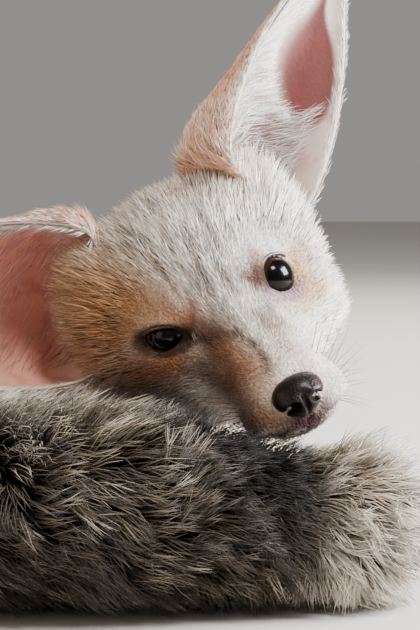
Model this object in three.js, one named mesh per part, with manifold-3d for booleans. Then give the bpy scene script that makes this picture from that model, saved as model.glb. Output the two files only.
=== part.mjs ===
// A life-size fennec fox, curled up on the floor with its head resting on its own tail.
// Millimetres, +Z up, floor at Z = 0. The origin is on the floor under the shoulders. The head
// is towards -Y, the trunk curls away behind it to -X, and the tail comes round in front.
// Every form is the outer outline of the coat.

import * as THREE from "three";
import { mergeVertices } from "three/addons/utils/BufferGeometryUtils.js";
import Module from "manifold-3d";

const wasm = await Module();
wasm.setup();

const { degToRad } = THREE.MathUtils;

// Driving dimensions
const GAP = 0.3; // left between pieces that touch
const HAIR_GAP = 0.6; // left round a lock of hair
const FLOOR_SINK = 2.5; // how far a soft underside spreads into its flat

const CURL_RADIUS = 68; // of the line of the back, seen from above
const TRUNK_HALF_WIDTH = 39;
const TRUNK_HEIGHT = 72;
const TRUNK_LINE_HEIGHT = 30;
const NECK_RADIUS = 28;

const EYES_AT = new THREE.Vector3(17, -88, 64); // midway between the eyes
const HEAD_TURN = degToRad(15); // muzzle towards +X
const HEAD_NOD = degToRad(-4);
const HEAD_TILT = degToRad(27.3); // crown towards -X
const HEAD_HALF_WIDTH = 34;
const NOSE_SIZE = new THREE.Vector3(5.9, 4.8, 5);

const EYE_RADIUS = 7;
const EYE_CENTRE = new THREE.Vector3(13.6, 1.5, 0);
const EYE_SPREAD = degToRad(28);
const EYE_RISE = degToRad(4);
const LID_THICKNESS = 1.3;

const EAR_LENGTH = 78;
const EAR_HALF_WIDTH = 17.5; // between its margins
const EAR_DEPTH = 20;
const EAR_THICKNESS = 2.6;

const TAIL_RADIUS = 25.5;

// Radii at the upper and the lower end of each length of a leg
const UPPER_ARM = [22, 20];
const FOREARM = [13, 8.5];
const FOREFOOT = [8.5, 9];
const SHANK = [14, 9];
const HIND_FOOT = [8, 9];
const THIGH_TAPER = 0.85; // of a thigh's radius, at the knee

const JOINT_OVERLAP = 7; // how far a length of a leg reaches past its joint, into the next one
const FOOT_LINE_HEIGHT = 8.5;
const CLAW_LENGTH = 5.5;
const CLAW_RADIUS = 1.1;
const LONGER_TOES = 3.5; // how far the two middle toes reach past the outer ones

// Colours of the coat, from the photograph
const CREAM = { color: 0xd8cbb6, roughness: 0.95, metalness: 0 };
const SAND = { color: 0xb99468, roughness: 0.95, metalness: 0 };
const GRIZZLED = { color: 0x6d5c48, roughness: 0.95, metalness: 0 };
const EAR_PINK = { color: 0xb98378, roughness: 0.85, metalness: 0 };
const EYE_BROWN = { color: 0x1c1210, roughness: 0.08, metalness: 0 };
const NOSE_BROWN = { color: 0x33201f, roughness: 0.35, metalness: 0 };

// A smooth curve through [place, value] pairs, read at one place.
function through(pairs, place) {
  const last = pairs.length - 1;
  if (place <= pairs[0][0]) return pairs[0][1];
  if (place >= pairs[last][0]) return pairs[last][1];
  const i = pairs.findIndex(([p]) => p > place) - 1;
  const slope = (k) => {
    const [before, after] = [pairs[Math.max(k - 1, 0)], pairs[Math.min(k + 1, last)]];
    return (after[1] - before[1]) / (after[0] - before[0]);
  };
  const [[from, start], [to, end]] = [pairs[i], pairs[i + 1]];
  const span = to - from;
  const s = (place - from) / span;
  const [ss, sss] = [s * s, s * s * s];
  return (
    start * (2 * sss - 3 * ss + 1) +
    slope(i) * span * (sss - 2 * ss + s) +
    end * (3 * ss - 2 * sss) +
    slope(i + 1) * span * (sss - ss)
  );
}

// How full a body is at u from 0 to 1 along it, with a round end of the given share at each end.
function roundEnds(u, front, back) {
  const short = Math.max(0, 1 - u / front, 1 - (1 - u) / back);
  return Math.sqrt(Math.max(0, 1 - short * short));
}

// Steps along a body that crowd towards its two ends.
const crowded = (t) => (1 - Math.cos(Math.PI * t)) / 2;

// A closed skin: the vertices of a sphere, each moved to where place(t, angle) puts it.
function shaped(sides, rings, place) {
  const skin = new THREE.SphereGeometry(1, sides, rings);
  const { uv, position } = skin.attributes;
  for (let i = 0; i < position.count; i += 1) {
    const point = place(1 - uv.getY(i), (uv.getX(i) % 1) * 2 * Math.PI);
    position.setXYZ(i, point.x, point.y, point.z);
  }
  return skin;
}

// The place, the way ahead, and the directions to the side and upwards, at u along a curve.
const UP = new THREE.Vector3(0, 0, 1);
function frameAt(curve, u) {
  const ahead = curve.getTangentAt(u);
  const side = ahead.clone().cross(UP).normalize();
  return { at: curve.getPointAt(u), ahead, side, over: side.clone().cross(ahead).normalize() };
}

// A body along a curve. section(u) gives its half width, its height above and below the curve and
// how square it is, where 2 is round.
function along(curve, section, { sides = 20, rings = 20 } = {}) {
  return shaped(sides, rings, (t, angle) => {
    const u = crowded(t);
    const { at, side, over } = frameAt(curve, u);
    const { wide, above, below = above, square = 2 } = section(u);
    const round = (value) => Math.sign(value) * Math.abs(value) ** (2 / square);
    const lift = round(Math.sin(angle));
    return at
      .addScaledVector(side, wide * round(Math.cos(angle)))
      .addScaledVector(over, lift * (lift > 0 ? above : below));
  });
}

// A flat lock of hair that swells from its root and tapers to its tip. lie(t, aside, out) is the
// point at t from root to tip, that far aside of its middle line and out of the coat.
const lockTaper = [[0, 0.3], [0.25, 0.62], [0.6, 1], [0.82, 0.72], [1, 0]];
function lock(lie, { width, thickness, rings }) {
  return shaped(4, rings, (t, angle) => {
    const full = through(lockTaper, t) * Math.min(1, t * 8);
    return lie(t, (width / 2) * full * Math.cos(angle), (thickness / 2) * full * Math.sin(angle));
  });
}

// The lie of a free lock, from one point to another, pulled towards a third.
function freeLie(from, by, to, across) {
  const curve = new THREE.QuadraticBezierCurve3(from, by, to);
  return (t, aside, out) => {
    const away = curve.getTangent(t).cross(across).normalize();
    return curve.getPoint(t).addScaledVector(across, aside).addScaledVector(away, out);
  };
}

// Numbers from 0 to 1 that are the same in every run.
function seeded(seed) {
  let state = seed;
  return () => {
    state = (state * 16807) % 2147483647;
    return state / 2147483647;
  };
}

const curveThrough = (...points) =>
  new THREE.CatmullRomCurve3(points.map(([x, y, z]) => new THREE.Vector3(x, y, z)));

// An ellipsoid with the given half sizes.
function ellipsoid(centre, half, sides = 12, rings = 8) {
  return new THREE.SphereGeometry(1, sides, rings)
    .scale(half.x, half.y, half.z)
    .translate(centre.x, centre.y, centre.z);
}

// The geometry with only its positions, and its shared vertices merged.
function welded(geometry) {
  const flat = geometry.index ? geometry.toNonIndexed() : geometry;
  const bare = new THREE.BufferGeometry();
  bare.setAttribute("position", flat.getAttribute("position").clone());
  return mergeVertices(bare, 1e-4);
}

// The same skin, moved outwards.
function grown(geometry, by = GAP) {
  const skin = welded(geometry);
  skin.computeVertexNormals();
  const { position, normal } = skin.attributes;
  const inwards = solid(skin).flipped ? -by : by;
  for (let i = 0; i < position.count; i += 1) {
    position.setXYZ(
      i,
      position.getX(i) + normal.getX(i) * inwards,
      position.getY(i) + normal.getY(i) * inwards,
      position.getZ(i) + normal.getZ(i) * inwards,
    );
  }
  return skin;
}

// A closed skin as a solid, turned to face outwards.
function solid(geometry) {
  const skin = welded(geometry);
  const triVerts = new Uint32Array(skin.index.array);
  const vertProperties = skin.attributes.position.array;
  const made = new wasm.Manifold(new wasm.Mesh({ numProp: 3, vertProperties, triVerts }));
  if (made.volume() > 0) return made;
  for (let i = 0; i < triVerts.length; i += 3) {
    [triVerts[i + 1], triVerts[i + 2]] = [triVerts[i + 2], triVerts[i + 1]];
  }
  const turned = new wasm.Manifold(new wasm.Mesh({ numProp: 3, vertProperties, triVerts }));
  turned.flipped = true;
  return turned;
}

const largest = (body) =>
  body.decompose().reduce((best, piece) => (piece.volume() > best.volume() ? piece : best));

const cut = (body, ...tools) => tools.reduce((left, tool) => left.subtract(tool), body);
const joined = (...bodies) => wasm.Manifold.union(bodies);
const solids = (skins) => skins.map((skin) => solid(skin));
const clearance = (skins, gap = GAP) =>
  joined(...skins.flatMap((skin) => solids([skin, grown(skin, gap)])));

// The largest closed surface of a solid as a named mesh.
function node(name, body, material, parent) {
  const { vertProperties, triVerts, numProp } = largest(body).getMesh();
  const positions = new Float32Array((vertProperties.length / numProp) * 3);
  for (let i = 0; i < positions.length / 3; i += 1) {
    positions.set(vertProperties.subarray(i * numProp, i * numProp + 3), i * 3);
  }
  const geometry = new THREE.BufferGeometry();
  geometry.setAttribute("position", new THREE.BufferAttribute(positions, 3));
  geometry.setIndex(new THREE.BufferAttribute(new Uint32Array(triVerts), 1));
  geometry.computeVertexNormals();
  const mesh = new THREE.Mesh(geometry, new THREE.MeshStandardMaterial(material));
  mesh.name = name;
  parent.add(mesh);
}

const fox = new THREE.Group();
fox.name = "fennec_fox";

const FAR = 400;
const belowFloor = solid(new THREE.BoxGeometry(FAR * 2, FAR * 2, FAR).translate(0, 0, -FAR / 2));
const onFloor = (body) => body.subtract(belowFloor);

// The trunk's line, from the chest round the curl to the rump
function trunkLine() {
  const turns = 8;
  const points = [[0, -30], [0, -12]];
  for (let i = 0; i <= turns; i += 1) {
    const bearing = (Math.PI * i) / turns;
    points.push([CURL_RADIUS * (Math.cos(bearing) - 1), CURL_RADIUS * Math.sin(bearing)]);
  }
  points.push([-2 * CURL_RADIUS, -18], [-2 * CURL_RADIUS, -34]);
  return curveThrough(...points.map(([x, y]) => [x, y, TRUNK_LINE_HEIGHT]));
}

function trunkSkin() {
  const width = [[0, 0.84], [0.14, 0.97], [0.3, 0.95], [0.52, 0.84], [0.78, 1.03], [0.92, 0.9], [1, 0.6]];
  const height = [[0, 0.9], [0.14, 0.98], [0.3, 0.93], [0.52, 0.82], [0.76, 1], [0.9, 0.86], [1, 0.62]];
  return along(
    trunkLine(),
    (u) => {
      const full = roundEnds(u, 0.1, 0.16);
      return {
        wide: TRUNK_HALF_WIDTH * through(width, u) * full,
        above: (TRUNK_HEIGHT * through(height, u) - TRUNK_LINE_HEIGHT) * full,
        below: (TRUNK_LINE_HEIGHT + FLOOR_SINK) * full,
        square: 2.3,
      };
    },
    { sides: 18, rings: 24 },
  );
}

// A thin upright wall through the middle of the curl, at a bearing round it.
function curlCut(bearing) {
  return solid(
    new THREE.BoxGeometry(FAR, GAP, FAR)
      .translate(FAR / 2, 0, 0)
      .rotateZ(bearing)
      .translate(-CURL_RADIUS, 0, 0),
  );
}

// The head, in its own frame: +X to the animal's right, +Y forwards, +Z up, from midway between
// the eyes.
const head = new THREE.Group();
head.name = "head_group";
head.position.copy(EYES_AT);
head.rotation.set(HEAD_NOD, HEAD_TILT, Math.PI + HEAD_TURN, "ZXY");
head.updateMatrixWorld(true);
fox.add(head);

const NAPE = -46;
const MUZZLE_FRONT = 44.5;
const headWidth = [
  [-46, 0.6], [-38, 0.8], [-28, 0.96], [-16, 1], [-6, 0.95], [2, 0.81], [9, 0.62], [16, 0.455],
  [24, 0.375], [33, 0.355], [40, 0.33], [44.5, 0.27],
];
const headTop = [
  [-46, 18], [-38, 25], [-28, 30], [-16, 30], [-6, 24.5], [2, 17], [9, 8.5], [16, 1.5],
  [24, -3.8], [33, -7], [40, -8.6], [44.5, -10.5],
];
const headUnder = [
  [-46, -24], [-38, -29], [-28, -32], [-16, -32], [-6, -31], [9, -29], [24, -27.8], [40, -27.5],
  [44.5, -25],
];
const headWidest = [[-46, -4], [-28, -6], [-6, -9], [9, -13], [24, -19], [44.5, -19]];

// Swellings of the head: where, how far they stand out and how wide they are
const SWELLINGS = [
  { at: [12.5, 9, 7.5], out: 1.6, reach: 6 }, // brow
  { at: [9, 13, -5], out: -1.8, reach: 5.5 }, // hollow before the eye
  { at: [20, 7, -10], out: 1.2, reach: 8 }, // cheekbone
  { at: [9, 36, -19], out: 1.6, reach: 7 }, // whisker pad
  { at: [25, -14, 19], out: 4, reach: 13 }, // root of the ear
  { at: [0, 8, 9], out: -0.8, reach: 6 }, // furrow of the forehead
];

// A point of the head's surface, the way out of it and how far it is from the head's axis
function headPoint(y, angle, { full = 1, inset = 0 } = {}) {
  const middle = through(headWidest, y);
  const lift = Math.sin(angle);
  const reach = lift > 0 ? through(headTop, y) - middle : middle - through(headUnder, y);
  const width = HEAD_HALF_WIDTH * through(headWidth, y) - inset;
  const ray = new THREE.Vector3(Math.cos(angle) * width, 0, lift * reach).multiplyScalar(full);
  const at = new THREE.Vector3(ray.x, y, middle + ray.z);
  const outwards = ray.normalize();
  for (const { at: centre, out, reach: wide } of SWELLINGS) {
    for (const side of centre[0] ? [-1, 1] : [1]) {
      const apart = at.distanceTo(new THREE.Vector3(centre[0] * side, centre[1], centre[2]));
      at.addScaledVector(outwards, out * full * Math.exp(-((apart / wide) ** 2)));
    }
  }
  return { at, outwards };
}

function headSkin(inset = () => 0) {
  return shaped(26, 26, (t, angle) => {
    const u = crowded(t);
    const y = THREE.MathUtils.lerp(NAPE, MUZZLE_FRONT, u);
    return headPoint(y, angle, { full: roundEnds(u, 0.16, 0.05), inset: inset(y) }).at;
  });
}

// The long hair of the cheeks, in rows that lie backwards and down from behind the eye
const RUFF = { rows: 3, inRow: 4, length: 20, width: 12, thickness: 2, rings: 4, sunk: 2.5, lift: 5 };
function ruff(side, draw) {
  const skins = [];
  for (let row = 0; row < RUFF.rows; row += 1) {
    for (let i = 0; i < RUFF.inRow; i += 1) {
      const rootAt = 5 - row * 7.5 + (draw() - 0.5);
      const bearing = degToRad(-64 + 24 * (i + (row % 2) / 2) + 3 * (draw() - 0.5));
      const length = RUFF.length * (0.9 + 0.2 * draw());
      const lift = RUFF.lift * (0.8 + 0.4 * draw());
      const lie = (t, aside, out) => {
        const turned = bearing - 0.2 * t + aside / HEAD_HALF_WIDTH;
        const angle = side > 0 ? turned : Math.PI - turned;
        const { at, outwards } = headPoint(rootAt - length * t, angle);
        return at.addScaledVector(outwards, THREE.MathUtils.lerp(-RUFF.sunk, lift, t) + out);
      };
      skins.push(lock(lie, RUFF));
    }
  }
  return skins;
}

// The lower jaw is what lies under the line of the mouth.
const MOUTH = [[60, -22.6], [40, -22.8], [30, -23.8], [20, -23.2], [13, -21.6]];
const JAW_ANGLE = [4, -45];
function underMouth(clearance) {
  const outline = new THREE.Shape(
    [...MOUTH, JAW_ANGLE].map(([y, z], i) =>
      new THREE.Vector2(y - (i >= MOUTH.length - 1 ? clearance : 0), z + clearance),
    ),
  );
  outline.lineTo(60, -45);
  const reach = 60;
  return solid(
    new THREE.ExtrudeGeometry(outline, { depth: reach * 2, bevelEnabled: false })
      .rotateX(Math.PI / 2)
      .rotateZ(Math.PI / 2)
      .translate(-reach, 0, 0),
  );
}

// The frame of an eye: its centre, and +Z along its gaze. side is 1 for the animal's right.
function eyeFrame(side) {
  const turn = new THREE.Euler(-Math.PI / 2 + EYE_RISE, 0, -side * EYE_SPREAD, "ZXY");
  return new THREE.Matrix4()
    .makeRotationFromEuler(turn)
    .setPosition(EYE_CENTRE.x * side, EYE_CENTRE.y, EYE_CENTRE.z);
}

// The opening between the lids, as an almond whose outer corner is raised.
function lidOpening({ halfWidth, halfHeight, side }) {
  const almond = new THREE.Shape();
  const [near, pull] = [halfWidth * 0.6, halfHeight * 1.3];
  almond.moveTo(-halfWidth, 0);
  almond.bezierCurveTo(-near, pull, near, pull, halfWidth, 0);
  almond.bezierCurveTo(near, -pull, -near, -pull, -halfWidth, 0);
  const slant = degToRad(12);
  return new THREE.ExtrudeGeometry(almond, { depth: 20, bevelEnabled: false, curveSegments: 5 })
    .rotateZ(side * slant)
    .rotateX(Math.PI)
    .scale(1, 1, -1);
}

function eyeball(halfHeight) {
  const cornea = Math.asin((halfHeight * 0.9) / EYE_RADIUS);
  return shaped(12, 11, (t, angle) => {
    const off = Math.PI * crowded(t);
    const bulge = 0.8 * Math.max(0, 1 - (off / cornea) ** 2);
    const ring = (EYE_RADIUS + bulge) * Math.sin(off);
    return new THREE.Vector3(
      ring * Math.cos(angle),
      ring * Math.sin(angle),
      (EYE_RADIUS + bulge) * Math.cos(off),
    );
  });
}

// The nose leather: broad above, narrow below, with a comma nostril on each side.
const NOSE_AT = new THREE.Vector3(0, 43.5, -16);
function nosePad() {
  return shaped(14, 9, (t, angle) => {
    const off = Math.PI * t;
    const [x, z, y] = [
      Math.sin(off) * Math.cos(angle),
      Math.sin(off) * Math.sin(angle),
      Math.cos(off),
    ];
    const taper = 1 + 0.22 * z;
    const philtrum = 0.7 * Math.exp(-((x / 0.12) ** 2)) * Math.max(0, y) * (z < 0.3 ? 1 : 0.4);
    return new THREE.Vector3(
      NOSE_AT.x + NOSE_SIZE.x * x * taper,
      NOSE_AT.y + NOSE_SIZE.y * (y - philtrum * 0.25) - 0.9 * Math.max(0, -z),
      NOSE_AT.z + NOSE_SIZE.z * z,
    );
  });
}

function nostril(side) {
  const hole = ellipsoid(new THREE.Vector3(), new THREE.Vector3(1.3, 3.2, 1.1), 6, 5)
    .rotateZ(-side * degToRad(28))
    .translate(2.9 * side, NOSE_AT.y + NOSE_SIZE.y - 0.6, NOSE_AT.z - 0.6);
  const slit = ellipsoid(new THREE.Vector3(), new THREE.Vector3(1.9, 3, 0.55), 6, 5)
    .rotateY(side * degToRad(18))
    .translate(4.7 * side, NOSE_AT.y + NOSE_SIZE.y - 2.6, NOSE_AT.z - 1.3);
  return joined(solid(hole), solid(slit));
}

// Along an ear from root to tip: its opening, its depth behind the opening, and half the angle
// that it wraps round, in degrees
const earOpening = [
  [0, 0.7], [0.12, 0.88], [0.3, 1], [0.45, 0.97], [0.6, 0.82], [0.75, 0.57], [0.9, 0.27], [1, 0],
];
const earDepth = [[0, 1.05], [0.2, 1.1], [0.4, 0.82], [0.6, 0.52], [0.85, 0.22], [1, 0]];
const earWrap = [[0, 122], [0.2, 110], [0.4, 92], [0.7, 76], [1, 62]];

// The directions of an ear: along it, the way it opens and across the opening. root is out,
// forward and up from between the eyes.
function earFrame({ side, root, splay, lean, turn }) {
  const axis = new THREE.Vector3(
    side * Math.sin(splay) * Math.cos(lean),
    -Math.sin(lean),
    Math.cos(splay) * Math.cos(lean),
  );
  const forwards = new THREE.Vector3(0, 1, 0).addScaledVector(axis, -axis.y).normalize();
  const outwards = new THREE.Vector3().crossVectors(forwards, axis).multiplyScalar(side);
  const turned = (a, b) =>
    a.clone().multiplyScalar(Math.cos(turn)).addScaledVector(b, Math.sin(turn));
  return {
    from: new THREE.Vector3(root[0] * side, root[1], root[2]),
    axis,
    opens: turned(forwards, outwards),
    across: turned(outwards, forwards.clone().negate()),
  };
}

// A point of an ear. share runs from -1 at the inner margin to 1 at the outer one, and depth
// from the middle of the ear's thickness towards its back.
function earPoint({ from, axis, opens, across }, u, share, depth = 0) {
  const full = roundEnds(u, 0.06, 0.02);
  const open = EAR_HALF_WIDTH * through(earOpening, u) * full;
  const deep = EAR_DEPTH * through(earDepth, u) * full;
  const wrap = degToRad(through(earWrap, u));
  const bearing = wrap * share;
  const [fan, cup] = [open / Math.sin(wrap), deep / (1 - Math.cos(wrap))];
  const away = new THREE.Vector2(cup * Math.sin(bearing), -fan * Math.cos(bearing))
    .normalize()
    .multiplyScalar(depth * full);
  return from
    .clone()
    .addScaledVector(axis, EAR_LENGTH * u)
    .addScaledVector(across, fan * Math.sin(bearing) + away.x)
    .addScaledVector(opens, cup * (Math.cos(wrap) - Math.cos(bearing)) + away.y);
}

// One ear as a thin cup.
function earSkin(frame) {
  return shaped(20, 13, (t, angle) => {
    const u = crowded(t);
    const back = angle < Math.PI;
    const share = back ? (2 * angle) / Math.PI - 1 : 3 - (2 * angle) / Math.PI;
    const half = (EAR_THICKNESS / 2) * (1 - 0.4 * u) * Math.sqrt(1 - share ** 4);
    return earPoint(frame, u, share, back ? half : -half);
  });
}

// The long hair inside an ear, from both margins towards the middle of the opening
const EAR_HAIR = { rows: 3, width: 8, thickness: 1.3, rings: 4 };
function earHair(frame, draw) {
  const skins = [];
  for (let row = 0; row < EAR_HAIR.rows; row += 1) {
    for (const margin of [-1, 1]) {
      const u = 0.2 + 0.15 * row + 0.03 * draw();
      const from = earPoint(frame, u, margin * 0.72, 0.3);
      const by = earPoint(frame, u + 0.09, margin * 0.66, -6);
      const to = earPoint(frame, u + 0.2 + 0.05 * draw(), margin * (0.3 + 0.1 * draw()), -5);
      const across = frame.opens.clone().cross(to.clone().sub(from)).normalize();
      skins.push(lock(freeLie(from, by, to, across), EAR_HAIR));
    }
  }
  return skins;
}

const EARS = [
  {
    name: "ear_right",
    side: 1,
    root: [22, -12, 12],
    splay: degToRad(66),
    lean: degToRad(10),
    turn: degToRad(0),
  },
  {
    name: "ear_left",
    side: -1,
    root: [25, -12, 16],
    splay: degToRad(50),
    lean: degToRad(20),
    turn: degToRad(24),
  },
];
const EYES = [
  { name: "eye_right", side: 1, halfWidth: 7, halfHeight: 4 },
  { name: "eye_left", side: -1, halfWidth: 6.8, halfHeight: 6 },
];

// The neck, in the part's frame
function neckSkin() {
  const nape = new THREE.Vector3(0, -34, -4).applyMatrix4(head.matrixWorld);
  const line = new THREE.CatmullRomCurve3([
    nape,
    new THREE.Vector3(4, -38, 49),
    new THREE.Vector3(0, -16, 40),
    new THREE.Vector3(0, -2, 36),
  ]);
  return along(
    line,
    (u) => {
      const full = roundEnds(u, 0.2, 0.2);
      const size = (NECK_RADIUS + 8 * u) * full;
      return { wide: size, above: size * 0.95 };
    },
    { sides: 16, rings: 9 },
  );
}

// The tail's line, from inside the rump round to the front
const tailLine = curveThrough(
  [-136, -20, 36],
  [-136, -48, 31],
  [-122, -83, 26],
  [-93, -110, 24.5],
  [-52, -127, 24],
  [-10, -132, 23.5],
  [20, -131, 20],
  [44, -126, 18.5],
  [58, -123, 16],
  [67, -121, 14],
);
const tailGirth = [
  [0, 0.7], [0.1, 0.78], [0.25, 0.9], [0.4, 1], [0.7, 1], [0.8, 0.85], [0.87, 0.78],
  [0.93, 0.84], [0.97, 0.72], [1, 0.3],
];

// What the long hair of the tail grows from
const CORE_SHARE = 0.5;
const tailRadius = (u) => TAIL_RADIUS * through(tailGirth, u) * roundEnds(u, 0.04, 0.07);
function tailCore() {
  return along(
    tailLine,
    (u) => {
      const size = CORE_SHARE * tailRadius(u);
      return { wide: size, above: size };
    },
    { sides: 8, rings: 16 },
  );
}

// A point at a bearing round the tail, that far from its line
function tailPoint(u, bearing, reach) {
  const { at, side, over } = frameAt(tailLine, u);
  return at
    .addScaledVector(side, Math.cos(bearing) * reach)
    .addScaledVector(over, Math.sin(bearing) * reach);
}

// The tail's hair, in staggered rings that lie towards its tip
const TAIL_HAIR = {
  rings: 10,
  inRing: 7, // where the tail is thickest
  first: 0.03, // place of the first ring along the tail
  last: 0.85,
  length: 54,
  width: 22,
  thickness: 3.6,
  rootShare: 0.26, // of the tail's radius, well inside the core
};
const ringAt = (ring) =>
  THREE.MathUtils.lerp(TAIL_HAIR.first, TAIL_HAIR.last, ring / (TAIL_HAIR.rings - 1));
function tailRing(ring, draw) {
  const root = ringAt(ring);
  const span = TAIL_HAIR.length / tailLine.getLength();
  const girth = tailRadius(root + span / 2) / TAIL_RADIUS;
  const count = Math.round(TAIL_HAIR.inRing * Math.sqrt(girth));
  const width = (TAIL_HAIR.width * girth * TAIL_HAIR.inRing) / count;
  return Array.from({ length: count }, (_, i) => {
    const bearing = ((i + (ring % 2) / 2 + 0.04 * (draw() - 0.5)) / count) * 2 * Math.PI;
    const drift = 0.08 + 0.04 * draw();
    const reach = Math.min(0.995, root + span * (0.92 + 0.16 * draw()));
    const tip = 0.97 + 0.07 * draw();
    const lie = (t, aside, out) => {
      const u = THREE.MathUtils.lerp(root, reach, t);
      const share = THREE.MathUtils.lerp(TAIL_HAIR.rootShare, tip, 1 - (1 - t) ** 1.5);
      const away = share * tailRadius(u);
      return tailPoint(u, bearing + drift * t + aside / tailRadius(u), away + out);
    };
    return lock(lie, { width, thickness: TAIL_HAIR.thickness, rings: 4 });
  });
}

// A thin wall across the tail, at u along it.
function tailCut(u) {
  const wall = new THREE.BoxGeometry(40, 40, GAP);
  const { at, ahead } = frameAt(tailLine, u);
  const turn = new THREE.Quaternion().setFromUnitVectors(UP, ahead);
  return solid(wall.applyQuaternion(turn).translate(at.x, at.y, at.z));
}

// A limb between joints, with its radius at each end. ends is the share of it that is rounded off
// at each end.
function limb(line, [from, to], { sides = 10, rings = 7, ends = 0.2 } = {}) {
  return along(
    line,
    (u) => {
      const size = THREE.MathUtils.lerp(from, to, u) * roundEnds(u, ends, ends);
      return { wide: size, above: size };
    },
    { sides, rings },
  );
}

// Four toes and their claws at the end of a foot's line.
const TOE_LENGTH = 6.5;
const FOOT_HEIGHT = 14;
const FOOT_SPAN = 19;
function toes(line) {
  const end = line.getPointAt(0.93);
  const ahead = line.getTangentAt(1).setZ(0).normalize();
  const side = ahead.clone().cross(UP).normalize();
  const parts = [];
  for (const place of [-1.5, -0.5, 0.5, 1.5]) {
    const middleToe = Math.abs(place) < 1;
    const tip = end
      .clone()
      .addScaledVector(side, (place * FOOT_SPAN) / 4)
      .addScaledVector(ahead, middleToe ? LONGER_TOES : 0);
    const toe = new THREE.SphereGeometry(1, 6, 4).scale(FOOT_SPAN / 7, TOE_LENGTH, FOOT_HEIGHT / 2);
    const claw = new THREE.ConeGeometry(CLAW_RADIUS, CLAW_LENGTH, 4)
      .rotateX(degToRad(-22))
      .translate(0, TOE_LENGTH + CLAW_LENGTH / 3, 0);
    const bearing = Math.atan2(-ahead.x, ahead.y) - place * 0.06;
    for (const shape of [toe, claw]) {
      parts.push(solid(shape.rotateZ(bearing).translate(tip.x, tip.y, FOOT_HEIGHT / 2 - 0.6)));
    }
  }
  return parts;
}

// Joints of the legs. The animal's right is towards -X at the shoulders. The hindquarters lie on
// their left side, so both hind feet are inside the curl.
const FORELEGS = [
  {
    name: "right",
    shoulder: [-20, -18, 56],
    elbow: [-34, 20, 15],
    wrist: [-22, -60, 11],
    toe: [-18, -93, 7],
  },
  {
    name: "left",
    shoulder: [20, -18, 56],
    elbow: [34, 20, 15],
    wrist: [25, -60, 11],
    toe: [23, -93, 7],
  },
];
const HIND_LEGS = [
  {
    name: "right",
    hip: [-154, -6, 42],
    knee: [-74, 14, 30],
    heel: [-116, -42, 12],
    toe: [-42, -70, 7],
    thigh: { radius: 33, sides: 14, rings: 10, ends: 0.5 },
  },
  {
    name: "left",
    hip: [-152, -16, 18],
    knee: [-76, 2, 14],
    heel: [-106, -62, 9],
    toe: [-46, -90, 7],
    thigh: { radius: 16, sides: 10, rings: 6, ends: 0.5 },
  },
];

// The point that lies past a joint, seen from another one.
function past(from, joint) {
  const [start, end] = [from, joint].map((point) => new THREE.Vector3(...point));
  const way = end.clone().sub(start).normalize();
  return end.addScaledVector(way, JOINT_OVERLAP).toArray();
}

// A foot's line lies low between the joint behind it and its toes.
function footLine(joint, toe) {
  const from = past(toe, joint);
  const instep = [(from[0] + toe[0]) / 2, (from[1] + toe[1]) / 2, FOOT_LINE_HEIGHT];
  return curveThrough(from, instep, toe);
}

// The head, jaw, nose, eyes and ears, which meet one another in the head's own frame. Gives
// back what the rest of the body keeps clear of.
function buildHead() {
  const skull = headSkin();
  const nose = nosePad();
  const draw = seeded(41);
  const hair = [...ruff(1, draw), ...ruff(-1, draw)];
  const eyes = EYES.map((eye) => {
    const frame = eyeFrame(eye.side);
    const lid = new THREE.SphereGeometry(EYE_RADIUS + GAP + LID_THICKNESS, 16, 11);
    const socket = new THREE.SphereGeometry(EYE_RADIUS + GAP, 14, 10);
    return {
      name: eye.name,
      ball: solid(eyeball(eye.halfHeight).applyMatrix4(frame)),
      lid: solid(lid.applyMatrix4(frame)),
      socket: solid(socket.applyMatrix4(frame)),
      opening: solid(lidOpening(eye).applyMatrix4(frame)),
    };
  });
  const face = cut(
    joined(solid(skull), ...eyes.map(({ lid }) => lid)),
    underMouth(GAP),
    solid(grown(nose)),
    ...eyes.flatMap(({ socket, opening }) => [socket, opening]),
  );
  const lipOverhang = (y) => 1.3 * THREE.MathUtils.smoothstep(y, 8, 26);
  const jaw = solid(headSkin(lipOverhang)).intersect(underMouth(0));
  node("head", joined(face, ...solids(hair)), CREAM, head);
  node("lower_jaw", cut(jaw, solid(grown(nose)), clearance(hair, HAIR_GAP)), CREAM, head);
  node("nose", cut(solid(nose), nostril(1), nostril(-1)), NOSE_BROWN, head);
  for (const { name, ball } of eyes) node(name, ball, EYE_BROWN, head);
  for (const ear of EARS) {
    const frame = earFrame(ear);
    const body = joined(...solids([earSkin(frame), ...earHair(frame, draw)]));
    node(ear.name, cut(body, clearance([skull]), clearance(hair, HAIR_GAP)), EAR_PINK, head);
  }
  const placed = (skin) => skin.applyMatrix4(head.matrixWorld);
  return joined(clearance([placed(skull)]), clearance(hair.map(placed), HAIR_GAP));
}

// The solids of a form cut into lengths, in order of their middles along +X
function lengthsOf(body) {
  return body
    .decompose()
    .filter((piece) => piece.volume() > 1000)
    .sort((a, b) => middleOf(a).x - middleOf(b).x);
}

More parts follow.
